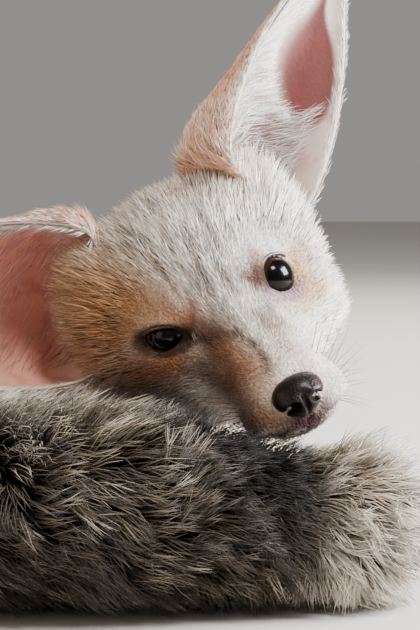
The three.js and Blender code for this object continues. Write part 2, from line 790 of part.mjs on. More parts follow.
function buildFox() {
  // What is in place already, a gap larger. Each later form is cut clear of it.
  const taken = [buildHead()];
  const settle = (skins, extras = []) => {
    const body = onFloor(joined(...solids(skins), ...extras));
    const clear = cut(body, ...taken);
    taken.push(clearance(skins));
    return clear;
  };

  for (const { name, wrist, toe } of FORELEGS) {
    const line = footLine(wrist, toe);
    node(`forepaw_${name}`, settle([limb(line, FOREFOOT)], toes(line)), CREAM, fox);
  }
  for (const { name, shoulder, elbow, wrist } of FORELEGS) {
    const fine = { sides: 14, rings: 9, ends: 0.5 };
    const upperArm = limb(curveThrough(shoulder, elbow), UPPER_ARM, fine);
    const forearm = limb(curveThrough(elbow, past(elbow, wrist)), FOREARM);
    node(`foreleg_${name}`, settle([upperArm, forearm]), SAND, fox);
  }
  for (const { name, heel, toe } of HIND_LEGS) {
    const line = footLine(heel, toe);
    const foot = limb(line, HIND_FOOT, { rings: 9 });
    node(`hind_foot_${name}`, settle([foot], toes(line)), CREAM, fox);
  }
  for (const { name, hip, knee, heel, thigh: size } of HIND_LEGS) {
    const radii = [size.radius, size.radius * THIGH_TAPER];
    const thigh = limb(curveThrough(hip, knee), radii, size);
    const shin = [knee[0] - 14, knee[1] - 4, knee[2] - 4];
    const shank = limb(curveThrough(shin, past(shin, heel)), SHANK);
    node(`thigh_${name}`, settle([thigh, shank]), SAND, fox);
  }
  node("neck", settle([neckSkin()]), CREAM, fox);

  const trunk = cut(settle([trunkSkin()]), curlCut(degToRad(55)), curlCut(degToRad(125)));
  ["rump", "loin", "chest"].forEach((name, i) => node(name, lengthsOf(trunk)[i], SAND, fox));

  // Each length of the tail ends just before the roots of the next one's first ring.
  const names = ["tail_base", "tail_middle", "tail_end"];
  const firstRings = [0, 4, 7, TAIL_HAIR.rings];
  const walls = firstRings.slice(1, 3).map((ring) => tailCut(ringAt(ring - 0.25)));
  const cores = lengthsOf(cut(onFloor(solid(tailCore())), ...walls, ...taken));
  const draw = seeded(11);
  const rings = Array.from({ length: TAIL_HAIR.rings }, (_, ring) => tailRing(ring, draw));
  const groups = names.map((_, i) => rings.slice(firstRings[i], firstRings[i + 1]).flat());
  names.forEach((name, i) => {
    const body = onFloor(joined(cores[i], ...solids(groups[i])));
    const others = i < 2 ? [clearance(groups[i + 1], HAIR_GAP)] : [];
    node(name, cut(body, ...taken, ...others), GRIZZLED, fox);
  });
}

// The middle of a solid's box.
function middleOf(body) {
  const { min, max } = body.boundingBox();
  return new THREE.Vector3((min[0] + max[0]) / 2, (min[1] + max[1]) / 2, (min[2] + max[2]) / 2);
}

buildFox();

export default fox;
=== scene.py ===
"""A life-size fennec fox, curled up with its chin on its own tail.

Each form is worked out in millimetres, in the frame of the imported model, and becomes metres when
its mesh is made. One skin carries the flesh, and a coat of solid tufts grows from it.
"""

import sys

import logging
import math
from dataclasses import dataclass, field
from enum import Enum
from functools import cache
from typing import Callable, Sequence

import bpy
import numpy as np
from bpy.types import Material, Mesh, NodeSocket, NodeTree, Object
from mathutils import Matrix, Vector
from numpy import ndarray
from numpy.linalg import norm


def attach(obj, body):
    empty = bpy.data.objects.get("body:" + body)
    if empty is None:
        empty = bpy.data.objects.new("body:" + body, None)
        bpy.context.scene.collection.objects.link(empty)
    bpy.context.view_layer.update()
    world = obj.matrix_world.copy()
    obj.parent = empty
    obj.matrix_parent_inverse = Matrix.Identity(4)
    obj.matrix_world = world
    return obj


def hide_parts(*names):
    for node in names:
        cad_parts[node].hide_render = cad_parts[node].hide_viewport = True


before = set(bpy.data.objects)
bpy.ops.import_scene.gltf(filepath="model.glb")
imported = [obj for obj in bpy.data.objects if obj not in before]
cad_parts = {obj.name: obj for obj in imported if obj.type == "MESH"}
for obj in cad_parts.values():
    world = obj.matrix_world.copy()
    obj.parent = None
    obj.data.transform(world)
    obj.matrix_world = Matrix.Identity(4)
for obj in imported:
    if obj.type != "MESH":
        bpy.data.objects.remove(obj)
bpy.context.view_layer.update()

log = logging.getLogger("fennec_fox")

MM = 0.001
BODY = "root"
UV_MAP = "OFBake"
FLOOR_CLEARANCE = 0.3
TUFT_HEIGHT = 0.4
Pairs = Sequence[tuple[float, float]]
Triple = tuple[float, float, float]
Body = tuple[ndarray, list[ndarray]]
Inputs = dict[str, object]


class Side(Enum):
    """A side of the animal, as the sign of its own X axis."""

    RIGHT = 1
    LEFT = -1

    @property
    def word(self) -> str:
        """The side's name in a piece's name."""
        return self.name.lower()


class Part(Enum):
    """What the skin is joined from, as the number of its faces' material."""

    HEAD = 0
    TRUNK = 1
    TAIL = 2


# Numbers and directions


def through(pairs: Pairs, place: ndarray) -> ndarray:
    """Reads a smooth curve through [place, value] pairs.

    Args:
        pairs: Places in rising order, each with its value.
        place: Where to read the curve.

    Returns:
        The values there. Past the ends they stay what they are at the ends.
    """
    x, y = np.array(pairs, float).T
    gaps = np.r_[x[1] - x[0], x[2:] - x[:-2], x[-1] - x[-2]]
    slope = np.r_[y[1] - y[0], y[2:] - y[:-2], y[-1] - y[-2]] / gaps
    at = np.clip(place, x[0], x[-1])
    i = np.clip(np.searchsorted(x, at, side="right") - 1, 0, len(x) - 2)
    span = x[i + 1] - x[i]
    s = (at - x[i]) / span
    ss, sss = s * s, s * s * s
    return (
        y[i] * (2 * sss - 3 * ss + 1)
        + slope[i] * span * (sss - 2 * ss + s)
        + y[i + 1] * (3 * ss - 2 * sss)
        + slope[i + 1] * span * (sss - ss)
    )


def unit(vectors: ndarray) -> ndarray:
    """The vectors with length 1."""
    return vectors / np.maximum(norm(vectors, axis=-1, keepdims=True), 1e-9)


def dot(a: ndarray, b: ndarray) -> ndarray:
    """The dot product of each pair of vectors, kept as a column."""
    return np.sum(a * b, axis=-1, keepdims=True)


def ease(low: float, high: float, value: ndarray) -> ndarray:
    """Rises smoothly from 0 at low to 1 at high."""
    t = np.clip((value - low) / (high - low), 0, 1)
    return t * t * (3 - 2 * t)


def near(points: ndarray, centre: Triple, reach: float) -> ndarray:
    """1 at the centre, fading out over about the reach."""
    return np.exp(-np.sum(((points - np.array(centre)) / reach) ** 2, axis=-1))


def near_stroke(points: ndarray, start: Triple, end: Triple, reach: float) -> ndarray:
    """1 on the stroke from start to end, fading out over about the reach."""
    start, end = np.array(start, float), np.array(end, float)
    share = np.clip((points - start) @ (end - start) / np.sum((end - start) ** 2), 0, 1)
    away = norm(points - (start + share[..., None] * (end - start)), axis=-1)
    return np.exp(-((away / reach) ** 2))


def blend(a: ndarray, b: ndarray, share: ndarray) -> ndarray:
    """Goes from a to b by a share for each row."""
    return a + (b - a) * np.asarray(share)[..., None]


def linear(code: str) -> ndarray:
    """A colour written as six hex digits, in linear light."""
    value = np.array([int(code[i : i + 2], 16) for i in (0, 2, 4)]) / 255
    return np.where(value <= 0.04045, value / 12.92, ((value + 0.055) / 1.055) ** 2.4)


def round_ends(u: ndarray, front: float, back: float) -> ndarray:
    """How full a body is at u along it, with a round end of the given share at each end."""
    short = np.maximum(0, np.maximum(1 - u / front, 1 - (1 - u) / back))
    return np.sqrt(np.maximum(0, 1 - short**2))


def crowded(t: ndarray) -> ndarray:
    """Steps along a body that crowd towards its two ends."""
    return (1 - np.cos(np.pi * t)) / 2


def turn(axis: str, angle: float) -> ndarray:
    """A turn about a named axis."""
    return np.array(Matrix.Rotation(angle, 3, axis))


def ripple(points: ndarray, size: float, seed: int) -> ndarray:
    """Soft noise between about -1 and 1, with lumps of the given size in millimetres."""
    draw = np.random.default_rng(seed)
    waves = unit(draw.normal(size=(9, 3))) * (2 * np.pi / size) * draw.uniform(0.6, 1.5, (9, 1))
    return np.sin(points @ waves.T + draw.uniform(0, 2 * np.pi, 9)).mean(-1) * 2.2


class Line:
    """A smooth line through points, read by the share of its length."""

    steps = 300

    def __init__(self, *points: Triple) -> None:
        """Samples the line evenly.

        Args:
            points: What the line runs through.
        """
        p = np.array(points, float)
        p = np.vstack([2 * p[0] - p[1], p, 2 * p[-1] - p[-2]])
        dense = np.vstack([self._stretch(*p[i : i + 4]) for i in range(len(p) - 3)])
        reached = np.r_[0, np.cumsum(norm(np.diff(dense, axis=0), axis=1))]
        self.length = reached[-1]
        even = np.linspace(0, self.length, self.steps)
        self.points = np.stack([np.interp(even, reached, dense[:, i]) for i in range(3)], 1)
        self.ahead = unit(np.gradient(self.points, axis=0))

    @staticmethod
    def _stretch(a: ndarray, b: ndarray, c: ndarray, d: ndarray) -> ndarray:
        """The points from b to c of a centripetal Catmull-Rom line."""
        before, over, after = (norm(q - p) ** 0.5 for p, q in ((a, b), (b, c), (c, d)))
        leave = ((b - a) / before - (c - a) / (before + over) + (c - b) / over) * over
        arrive = ((c - b) / over - (d - b) / (over + after) + (d - c) / after) * over
        s = np.linspace(0, 1, 60)[:, None]
        return (
            b
            + leave * s
            + (-3 * b + 3 * c - 2 * leave - arrive) * s**2
            + (2 * b - 2 * c + leave + arrive) * s**3
        )

    def read(self, values: ndarray, u: ndarray) -> ndarray:
        """Values kept for each sample, read at u."""
        even = np.linspace(0, 1, self.steps)
        return np.stack([np.interp(u, even, values[:, i]) for i in range(3)], -1)

    def nearest(self, points: ndarray) -> tuple[ndarray, ndarray]:
        """Finds where the line is nearest to points.

        Args:
            points: The points.

        Returns:
            The share along the line for each point, and how far away it is.
        """
        share, away = np.empty(len(points)), np.empty(len(points))
        samples, batch = self.points[::4], 20000
        for start in range(0, len(points), batch):
            part = slice(start, start + batch)
            gap = norm(points[part, None] - samples[None], axis=-1)
            best = gap.argmin(1)
            share[part] = best / (len(samples) - 1)
            away[part] = gap[np.arange(len(best)), best]
        return share, away


# Meshes


def closed_skin(rings: int, sides: int, place: Callable) -> Body:
    """A closed skin whose vertices are where place(t, angle) puts them.

    Args:
        rings: Rings between its two poles.
        sides: Vertices in a ring.
        place: Gives points for arrays of t from 0 to 1 and of angle.

    Returns:
        Its points, with a pole before the rings and one after, its quads and its triangles.
    """
    t = np.repeat(np.arange(1, rings + 1) / (rings + 1), sides)
    angle = np.tile(2 * np.pi * np.arange(sides) / sides, rings)
    poles = place(np.array([0.0, 1.0]), np.zeros(2))
    points = np.vstack([poles[:1], place(t, angle), poles[1:]])
    i = np.arange(rings - 1)[:, None] * sides + 1
    j, k = np.arange(sides), (np.arange(sides) + 1) % sides
    quads = np.stack([i + j, i + k, i + sides + k, i + sides + j], -1).reshape(-1, 4)
    last = rings * sides + 1
    first_cap = np.stack([0 * j, 1 + k, 1 + j], -1)
    last_cap = np.stack([0 * j + last, last - sides + j, last - sides + k], -1)
    return points, [quads, np.vstack([first_cap, last_cap])]


def facing_out(points: ndarray, faces: list[ndarray]) -> list[ndarray]:
    """The faces, turned round if they enclose a negative volume."""
    volume = 0.0
    for group in faces:
        for i in range(1, group.shape[1] - 1):
            a, b, c = (points[group[:, k]] for k in (0, i, i + 1))
            volume += np.sum(np.cross(a, b) * c)
    return faces if volume > 0 else [group[:, ::-1] for group in faces]


def new_object(name: str, points: ndarray, faces: list[ndarray]) -> Object:
    """Makes a smooth mesh object from points in millimetres.

    Args:
        name: The piece's name.
        points: One row for each vertex.
        faces: Arrays of vertex numbers, one array for each number of corners.

    Returns:
        The object, linked to the scene.
    """
    mesh = bpy.data.meshes.new(name)
    mesh.vertices.add(len(points))
    mesh.vertices.foreach_set("co", (points * MM).astype(np.float32).ravel())
    corners = np.concatenate([group.ravel() for group in faces]).astype(np.int32)
    sizes = np.concatenate([np.full(len(group), group.shape[1]) for group in faces])
    mesh.loops.add(len(corners))
    mesh.loops.foreach_set("vertex_index", corners)
    mesh.polygons.add(len(sizes))
    mesh.polygons.foreach_set("loop_start", (np.cumsum(sizes) - sizes).astype(np.int32))
    mesh.polygons.foreach_set("use_smooth", np.ones(len(sizes), bool))
    mesh.update(calc_edges=True)
    obj = bpy.data.objects.new(name, mesh)
    bpy.context.scene.collection.objects.link(obj)
    return obj


def joined(bodies: Sequence[Body]) -> Body:
    """Several bodies as one list of points and one of faces."""
    points, groups, start = [], {}, 0
    for body, faces in bodies:
        points.append(body)
        for group in faces:
            groups.setdefault(group.shape[1], []).append(group + start)
        start += len(body)
    return np.vstack(points), [np.vstack(groups[size]) for size in sorted(groups)]


def keep_values(obj: Object, **kept: ndarray) -> None:
    """Keeps numbers or colours for each vertex of a piece, as named attributes."""
    for name, values in kept.items():
        kind, key = ("FLOAT", "value") if values.ndim == 1 else ("FLOAT_COLOR", "color")
        if values.ndim == 2:
            values = np.hstack([values, np.ones((len(values), 1))])
        attribute = obj.data.attributes.new(name, kind, "POINT")
        attribute.data.foreach_set(key, values.astype(np.float32).ravel())


def read(items: Sequence, name: str, row: int = 1, kind: type = np.int32) -> ndarray:
    """A value, or a row of them, for each of a mesh's items."""
    values = np.empty(len(items) * row, kind)
    items.foreach_get(name, values)
    return values if row == 1 else values.reshape(-1, row)


def vertex_points(mesh: Mesh) -> ndarray:
    """A mesh's vertices in millimetres."""
    return read(mesh.vertices, "co", 3, np.float32).astype(float) / MM


def vertex_normals(mesh: Mesh) -> ndarray:
    """The smooth normal of each vertex."""
    return read(mesh.vertex_normals, "vector", 3, np.float32).astype(float)


def triangles(mesh: Mesh) -> ndarray:
    """The vertices of each triangle of a mesh."""
    mesh.calc_loop_triangles()
    return read(mesh.loop_triangles, "vertices", 3)


def set_points(mesh: Mesh, points: ndarray) -> None:
    """Puts a mesh's vertices at the points, in millimetres."""
    mesh.vertices.foreach_set("co", (points * MM).astype(np.float32).ravel())
    mesh.update()


def relaxed(mesh: Mesh, points: ndarray, weight: ndarray, rounds: int) -> ndarray:
    """Smooths points over the mesh's edges.

    Args:
        mesh: Gives the edges.
        points: What to smooth, one row for each vertex.
        weight: How far each one goes towards its neighbours' mean in a round, from 0 to 1.
        rounds: How many times.

    Returns:
        The smoothed points.
    """
    a, b = read(mesh.edges, "vertices", 2).T
    ends, others = np.r_[a, b], np.r_[b, a]
    count = np.maximum(np.bincount(ends, minlength=len(points)), 1)
    for _ in range(rounds):
        sums = [np.bincount(ends, column[others], len(points)) / count for column in points.T]
        points = points + (np.stack(sums, 1) - points) * weight[:, None]
    return points


def applied(obj: Object) -> None:
    """Applies all of an object's modifiers."""
    bpy.context.view_layer.update()
    graph = bpy.context.evaluated_depsgraph_get()
    mesh = bpy.data.meshes.new_from_object(obj.evaluated_get(graph))
    obj.modifiers.clear()
    obj.data = mesh


def dress(piece: Object, slot: str, material: Material, *nodes: str) -> Object:
    """Rides a piece on the body, in a finish and in place of nodes.

    Args:
        piece: The piece.
        slot: The record's slot for its finish. Not used.
        material: Its material.
        nodes: What it stands for.

    Returns:
        The piece.
    """
    piece.data.materials.clear()
    piece.data.materials.append(material)
    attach(piece, BODY)
    if nodes:
        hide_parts(*nodes)
    log.info("%s: %d faces", piece.name, len(piece.data.polygons))
    return piece


def spike(rings: int, sides: int, spine: Callable) -> tuple[Body, ndarray]:
    """A closed pointed body.

    Args:
        rings: Rings between its ends.
        sides: Vertices in a ring.
        spine: Gives its middle, two ways across and its thickness, for shares along it.

    Returns:
        The body, and how far along it each point is.
    """

    def place(t: ndarray, angle: ndarray) -> ndarray:
        """Where the point at t and angle is."""
        middle, side, up, thick = spine(t)
        around = side * np.cos(angle)[:, None] + up * np.sin(angle)[:, None]
        return middle + around * thick[:, None]

    points, faces = closed_skin(rings, sides, place)
    share = np.concatenate([[0], np.repeat(np.arange(1, rings + 1) / (rings + 1), sides), [1]])
    return (points, facing_out(points, faces)), share


# The head's shape


@dataclass(frozen=True)
class Swelling:
    """Where the head's surface stands out, or in."""

    at: Triple
    out: float
    reach: float


@dataclass
class HeadShape:
    """The head in its own frame: +X to the animal's right, +Y forwards and +Z up, from midway
    between the eyes."""

    eyes_at: Triple = (17, -88, 64)
    muzzle_turn: float = math.radians(15)
    nod: float = math.radians(-4)
    tilt: float = math.radians(27.3)
    half_width: float = 34
    nape: float = -46
    front: float = 44.5
    width: Pairs = (
        (-46, 0.6), (-38, 0.8), (-28, 0.96), (-16, 1), (-6, 0.95), (2, 0.81), (9, 0.62),
        (16, 0.455), (24, 0.375), (33, 0.355), (40, 0.33), (44.5, 0.27),
    )
    top: Pairs = (
        (-46, 18), (-38, 25), (-28, 30), (-16, 30), (-6, 24.5), (2, 17), (9, 8.5), (16, 1.5),
        (24, -3.8), (33, -7), (40, -8.6), (44.5, -10.5),
    )
    under: Pairs = (
        (-46, -24), (-38, -29), (-28, -32), (-16, -32), (-6, -31), (9, -29), (24, -27.8),
        (40, -27.5), (44.5, -25),
    )
    widest: Pairs = ((-46, -4), (-28, -6), (-6, -9), (9, -13), (24, -19), (44.5, -19))
    mouth: Pairs = ((13, -21.6), (20, -23.2), (30, -23.8), (40, -22.8), (60, -22.6))
    mouth_corner: float = 13
    swellings: tuple[Swelling, ...] = (
        Swelling((12.5, 9, 7.5), 1.6, 6),
        Swelling((9, 13, -5), -1.8, 5.5),
        Swelling((20, 7, -10), 1.2, 8),
        Swelling((9, 36, -19), 1.6, 7),
        Swelling((25, -14, 19), 4, 13),
        Swelling((0, 8, 9), -0.8, 6),
    )

    def __post_init__(self) -> None:
        """Works out which way the head is turned."""
        heading = turn("Z", math.pi + self.muzzle_turn)
        self.axes = heading @ turn("X", self.nod) @ turn("Y", self.tilt)

    def to_world(self, points: ndarray) -> ndarray:
        """Points of the head's frame in the model's frame."""
        return points @ self.axes.T + np.array(self.eyes_at)

    def to_local(self, points: ndarray) -> ndarray:
        """Points of the model's frame in the head's frame."""
        return (points - np.array(self.eyes_at)) @ self.axes

    def surface(self, y: ndarray, angle: ndarray, full: ndarray) -> tuple[ndarray, ndarray]:
        """The outline of the coat.

        Args:
            y: Places along the head.
            angle: Bearings round it, from the animal's right upwards.
            full: How full it is there.

        Returns:
            The points, and the ways out of the surface.
        """
        middle = through(self.widest, y)
        lift = np.sin(angle)
        above, below = through(self.top, y) - middle, middle - through(self.under, y)
        reach = np.where(lift > 0, above, below)
        across = self.half_width * through(self.width, y) * np.cos(angle) * full
        ray = np.stack([across, np.zeros_like(y), lift * reach * full], -1)
        at = np.stack([ray[..., 0], y, middle + ray[..., 2]], -1)
        out = unit(ray)
        for swelling in self.swellings:
            for side in (1, -1) if swelling.at[0] else (1,):
                centre = (swelling.at[0] * side, *swelling.at[1:])
                rise = swelling.out * full * near(at, centre, swelling.reach)
                at = at + out * rise[..., None]
        return at, out


@dataclass
class EyeShape:
    """An eye and the opening between its lids, as an almond whose outer corner is raised."""

    side: Side
    half_width: float
    half_height: float
    radius: float = 7
    centre: Triple = (13.6, 1.5, 0)
    spread: float = math.radians(28)
    rise: float = math.radians(4)
    slant: float = math.radians(12)
    lid: float = 1.15
    lid_reach: float = 13
    sunk: float = 1.5
    cornea_rise: float = 0.8

    def __post_init__(self) -> None:
        """Works out the eye's own axes: along the opening, across it and along the gaze."""
        sign = self.side.value
        gaze = turn("Z", -sign * self.spread) @ turn("X", -math.pi / 2 + self.rise)
        opening = turn("Z", sign * self.slant) * np.array([[1], [-1], [1]])
        self.axes = gaze @ opening
        self.middle = np.array(self.centre) * (sign, 1, 1)

    def to_eye(self, local: ndarray) -> ndarray:
        """Points of the head's frame in the eye's own frame."""
        return (local - self.middle) @ self.axes

    def to_head(self, points: ndarray) -> ndarray:
        """Points of the eye's own frame in the head's frame."""
        return points @ self.axes.T + self.middle

    def half_open(self, along: ndarray) -> ndarray:
        """Half the opening's height, at shares of its half width."""
        return 0.975 * self.half_height * np.maximum(0, 1 - along**2) ** 0.72

    def outline(self, count: int) -> ndarray:
        """The edge of the opening, seen along the gaze, from the inner or outer corner round."""
        angle = 2 * np.pi * np.arange(count) / count
        x = np.cos(angle)
        return np.stack([self.half_width * x, self.half_open(x) * np.sign(np.sin(angle))], 1)

    def outside(self, eye_points: ndarray) -> ndarray:
        """How far points are outside the opening, seen along the gaze. Inside it is negative."""
        edge = self.outline(72)
        flat = eye_points[:, :2]
        away = norm(flat[:, None] - edge[None], axis=-1).min(1)
        along = np.clip(np.abs(flat[:, 0]) / self.half_width, 0, 1)
        inside = (np.abs(flat[:, 1]) < self.half_open(along)) & (along < 1)
        return np.where(inside, -away, away)

    def fit_lids(self, local: ndarray) -> ndarray:
        """Draws the head's surface over the eye as lids, and behind the eye in the opening.

        Args:
            local: Points in the head's frame.

        Returns:
            The points, moved.
        """
        points = self.to_eye(local)
        close = (points[:, 2] > -2) & (norm(points[:, :2], axis=1) < self.lid_reach)
        part = points[close]
        away = norm(part, axis=1)
        outer = self.radius + self.lid
        softness = 0.9
        lid = np.maximum(away, outer)
        lid += np.maximum(softness - np.abs(away - outer), 0) ** 2 / (4 * softness)
        lid = np.where(part[:, 2] > 0, lid, away)
        shown = ease(-0.75, 0.3, self.outside(part))
        depth = self.radius - self.sunk
        points[close] = unit(part) * (depth + (lid - depth) * shown)[:, None]
        return self.to_head(points)


HEAD = HeadShape()
EYES = (EyeShape(Side.RIGHT, 7.2, 3.5), EyeShape(Side.LEFT, 6.8, 6.1))


@dataclass
class EarShape:
    """An ear as a thin cup, in the head's frame."""

    side: Side
    root: Triple
    splay: float
    lean: float
    turned: float
    furred: float
    length: float = 78
    half_width: float = 17.5
    depth: float = 20
    thickness: float = 1.7
    opening: Pairs = (
        (0, 0.78), (0.12, 0.98), (0.3, 1.04), (0.45, 0.98), (0.6, 0.82), (0.75, 0.57),
        (0.9, 0.27), (1, 0),
    )
    leaf_start: Pairs = (
        (0.36, 0.6), (0.44, 0.25), (0.54, -0.02), (0.65, -0.06), (0.78, 0.14), (0.95, 0.34),
    )
    leaf_end: Pairs = ((0.36, 0.74), (0.44, 0.87), (0.54, 0.9), (0.66, 0.8), (0.78, 0.5), (0.95, 0.45))
    cup: Pairs = ((0, 1.3), (0.2, 1.25), (0.4, 0.86), (0.6, 0.52), (0.85, 0.22), (1, 0))
    wrap: Pairs = ((0, 122), (0.2, 110), (0.4, 92), (0.7, 76), (1, 62))

    def __post_init__(self) -> None:
        """Works out the ear's directions: along it, the way it opens and across the opening."""
        sign = self.side.value
        level = math.cos(self.lean)
        self.axis = np.array(
            [sign * math.sin(self.splay) * level, -math.sin(self.lean), math.cos(self.splay) * level]
        )
        forwards = unit(np.array([0, 1, 0]) - self.axis * self.axis[1])
        outwards = np.cross(forwards, self.axis) * sign
        cos, sin = math.cos(self.turned), math.sin(self.turned)
        self.opens = forwards * cos + outwards * sin
        self.across = outwards * cos - forwards * sin
        self.start = np.array(self.root) * (sign, 1, 1)

    def bare(self, u: ndarray, share: ndarray) -> ndarray:
        """How bare the inside is. On a furred ear that is a leaf which points to the root."""
        start, end = through(self.leaf_start, u), through(self.leaf_end, u)
        leaf = ease(-0.2, 0.24, share - start) * ease(0.06, -0.07, share - end) * ease(0.34, 0.42, u)
        return 1 - (1 - leaf) * (self.furred > 0.5)

    def point(self, u: ndarray, share: ndarray, depth: ndarray) -> ndarray:
        """Points of the ear in the head's frame.

        Args:
            u: From 0 at the root to 1 at the tip.
            share: From -1 at the inner margin to 1 at the outer one.
            depth: From the middle of its thickness towards its back.

        Returns:
            The points.
        """
        full = round_ends(u, 0.06, 0.02)
        open_half = self.half_width * through(self.opening, u) * full
        deep = self.depth * through(self.cup, u) * full
        wrap = np.radians(through(self.wrap, u))
        bearing = wrap * share
        fan, cup = open_half / np.sin(wrap), deep / (1 - np.cos(wrap))
        away = np.stack([cup * np.sin(bearing), -fan * np.cos(bearing)], -1)
        away = unit(away) * (depth * full)[:, None]
        side = fan * np.sin(bearing) + away[:, 0]
        front = cup * (np.cos(wrap) - np.cos(bearing)) + away[:, 1]
        return (
            self.start
            + (self.length * u)[:, None] * self.axis
            + side[:, None] * self.across
            + front[:, None] * self.opens
        )


EARS = (
    EarShape(Side.RIGHT, (23, -12, 11), math.radians(66), math.radians(10), 0.0, 0.35, half_width=20.5),
    EarShape(Side.LEFT, (26, -12, 16), math.radians(50), math.radians(20), math.radians(24), 1.0),
)


@dataclass
class TailShape:
    """The tail, from inside the rump round to the front."""

    radius: float = 25.5
    core_share: float = 0.5
    line: Line = field(
        default_factory=lambda: Line(
            (-136, -20, 36), (-136, -48, 31), (-122, -83, 26), (-93, -110, 24.5), (-52, -127, 24),
            (-10, -132, 23.5), (20, -131, 20), (44, -126, 18.5), (58, -123, 16), (67, -121, 14),
        )
    )
    girth: Pairs = (
        (0, 0.7), (0.1, 0.78), (0.25, 0.9), (0.4, 1), (0.7, 1), (0.8, 0.85), (0.87, 0.78),
        (0.93, 0.84), (0.97, 0.72), (1, 0.3),
    )

    def reach(self, u: ndarray) -> ndarray:
        """How far the coat reaches from the tail's line at u."""
        return self.radius * through(self.girth, u) * round_ends(u, 0.04, 0.07)

    def core(self) -> Body:
        """What the long hair of the tail grows from.

        Returns:
            Its points and faces.
        """

        def place(t: ndarray, angle: ndarray) -> ndarray:
            """Where the point at t and angle is."""
            u = crowded(t)
            ahead = unit(self.line.read(self.line.ahead, u))
            side = unit(np.cross(ahead, (0, 0, 1)))
            over = unit(np.cross(side, ahead))
            size = (self.core_share * self.reach(u))[:, None]
            around = side * size * np.cos(angle)[:, None] + over * size * np.sin(angle)[:, None]
            return self.line.read(self.line.points, u) + around

        return closed_skin(110, 40, place)


TAIL = TailShape()


@dataclass(frozen=True)
class Guide:
    """A line that the body's hair follows, with how thick the body is round it."""

    name: str
    line: Line
    thick: float
    coat: float


CURL = 68
ARC = [(CURL * (math.cos(math.pi * i / 8) - 1), CURL * math.sin(math.pi * i / 8), 30) for i in range(9)]

GUIDES = (
    Guide("trunk", Line((12, -58, 48), (2, -30, 38), *ARC, (-136, -18, 30), (-136, -34, 30)), 36, 7),
    Guide("foreleg_right", Line((-20, -18, 56), (-34, 20, 15), (-22, -60, 11), (-18, -97, 7)), 13, 3),
    Guide("foreleg_left", Line((20, -18, 56), (34, 20, 15), (25, -60, 11), (23, -97, 7)), 13, 3),
    Guide("thigh_right", Line((-154, -6, 42), (-74, 14, 30), (-116, -42, 12)), 26, 6),
    Guide("thigh_left", Line((-152, -16, 18), (-76, 2, 14), (-106, -62, 9)), 15, 5),
    Guide("hind_foot_right", Line((-116, -42, 12), (-80, -56, 8), (-38, -71, 7)), 8, 1.6),
    Guide("hind_foot_left", Line((-106, -62, 9), (-76, -76, 8), (-42, -91, 7)), 8, 1.6),
    Guide("forepaw_right", Line((-22, -60, 11), (-20, -78, 8), (-18, -97, 7)), 7, 1.4),
    Guide("forepaw_left", Line((25, -60, 11), (24, -78, 8), (23, -97, 7)), 7, 1.4),
)


def followed(points: ndarray) -> tuple[ndarray, ndarray, ndarray]:
    """Reads the body's lines.

    Args:
        points: Points of the skin.

    Returns:
        The way the hair lies, the coat's depth and how much a point belongs to a foot.
    """
    ahead, coat, foot, total = np.zeros_like(points), 0, 0, 0
    for guide in GUIDES:
        u, away = guide.line.nearest(points)
        weight = 1 / (0.2 + away / guide.thick) ** 5
        ahead += guide.line.read(guide.line.ahead, u) * weight[:, None]
        coat = coat + guide.coat * weight
        foot = foot + weight * ("foot" in guide.name or "paw" in guide.name)
        total = total + weight
    return unit(ahead), coat / total, foot / total


# Markings, the same for skin and coat


@dataclass(frozen=True)
class Palette:
    """The coat's colours, from the photograph."""

    white: str = "fbf8f3"
    cream: str = "efe2cc"
    grey_cream: str = "ebe1d2"
    sand: str = "cba473"
    peach: str = "dfa67f"
    tan: str = "a9713c"
    rufous: str = "8e5228"
    grey_brown: str = "63564b"
    umber: str = "35251b"
    dark: str = "1d120d"
    mauve: str = "4d2c32"
    lilac: str = "bb9ba8"
    tail_buff: str = "83704f"
    tail_brown: str = "392c20"
    tail_dark: str = "120e0c"

    def light(self, name: str) -> ndarray:
        """A named colour in linear light."""
        return linear(getattr(self, name))


COLOURS = Palette()


class Paint:
    """Colours laid over each other, one row for each point."""

    def __init__(self, base: str, count: int) -> None:
        """Starts from one colour."""
        self.colour = np.tile(COLOURS.light(base), (count, 1))

    def lay(self, name: str, share: ndarray) -> "Paint":
        """Lays a named colour on by a share for each point."""
        self.colour = blend(self.colour, COLOURS.light(name), np.clip(share, 0, 1))
        return self


@dataclass(frozen=True)
class Stroke:
    """A marking, from start to end, in the head's frame."""

    colour: str
    start: Triple
    end: Triple
    reach: float
    share: float
    left: float = 0
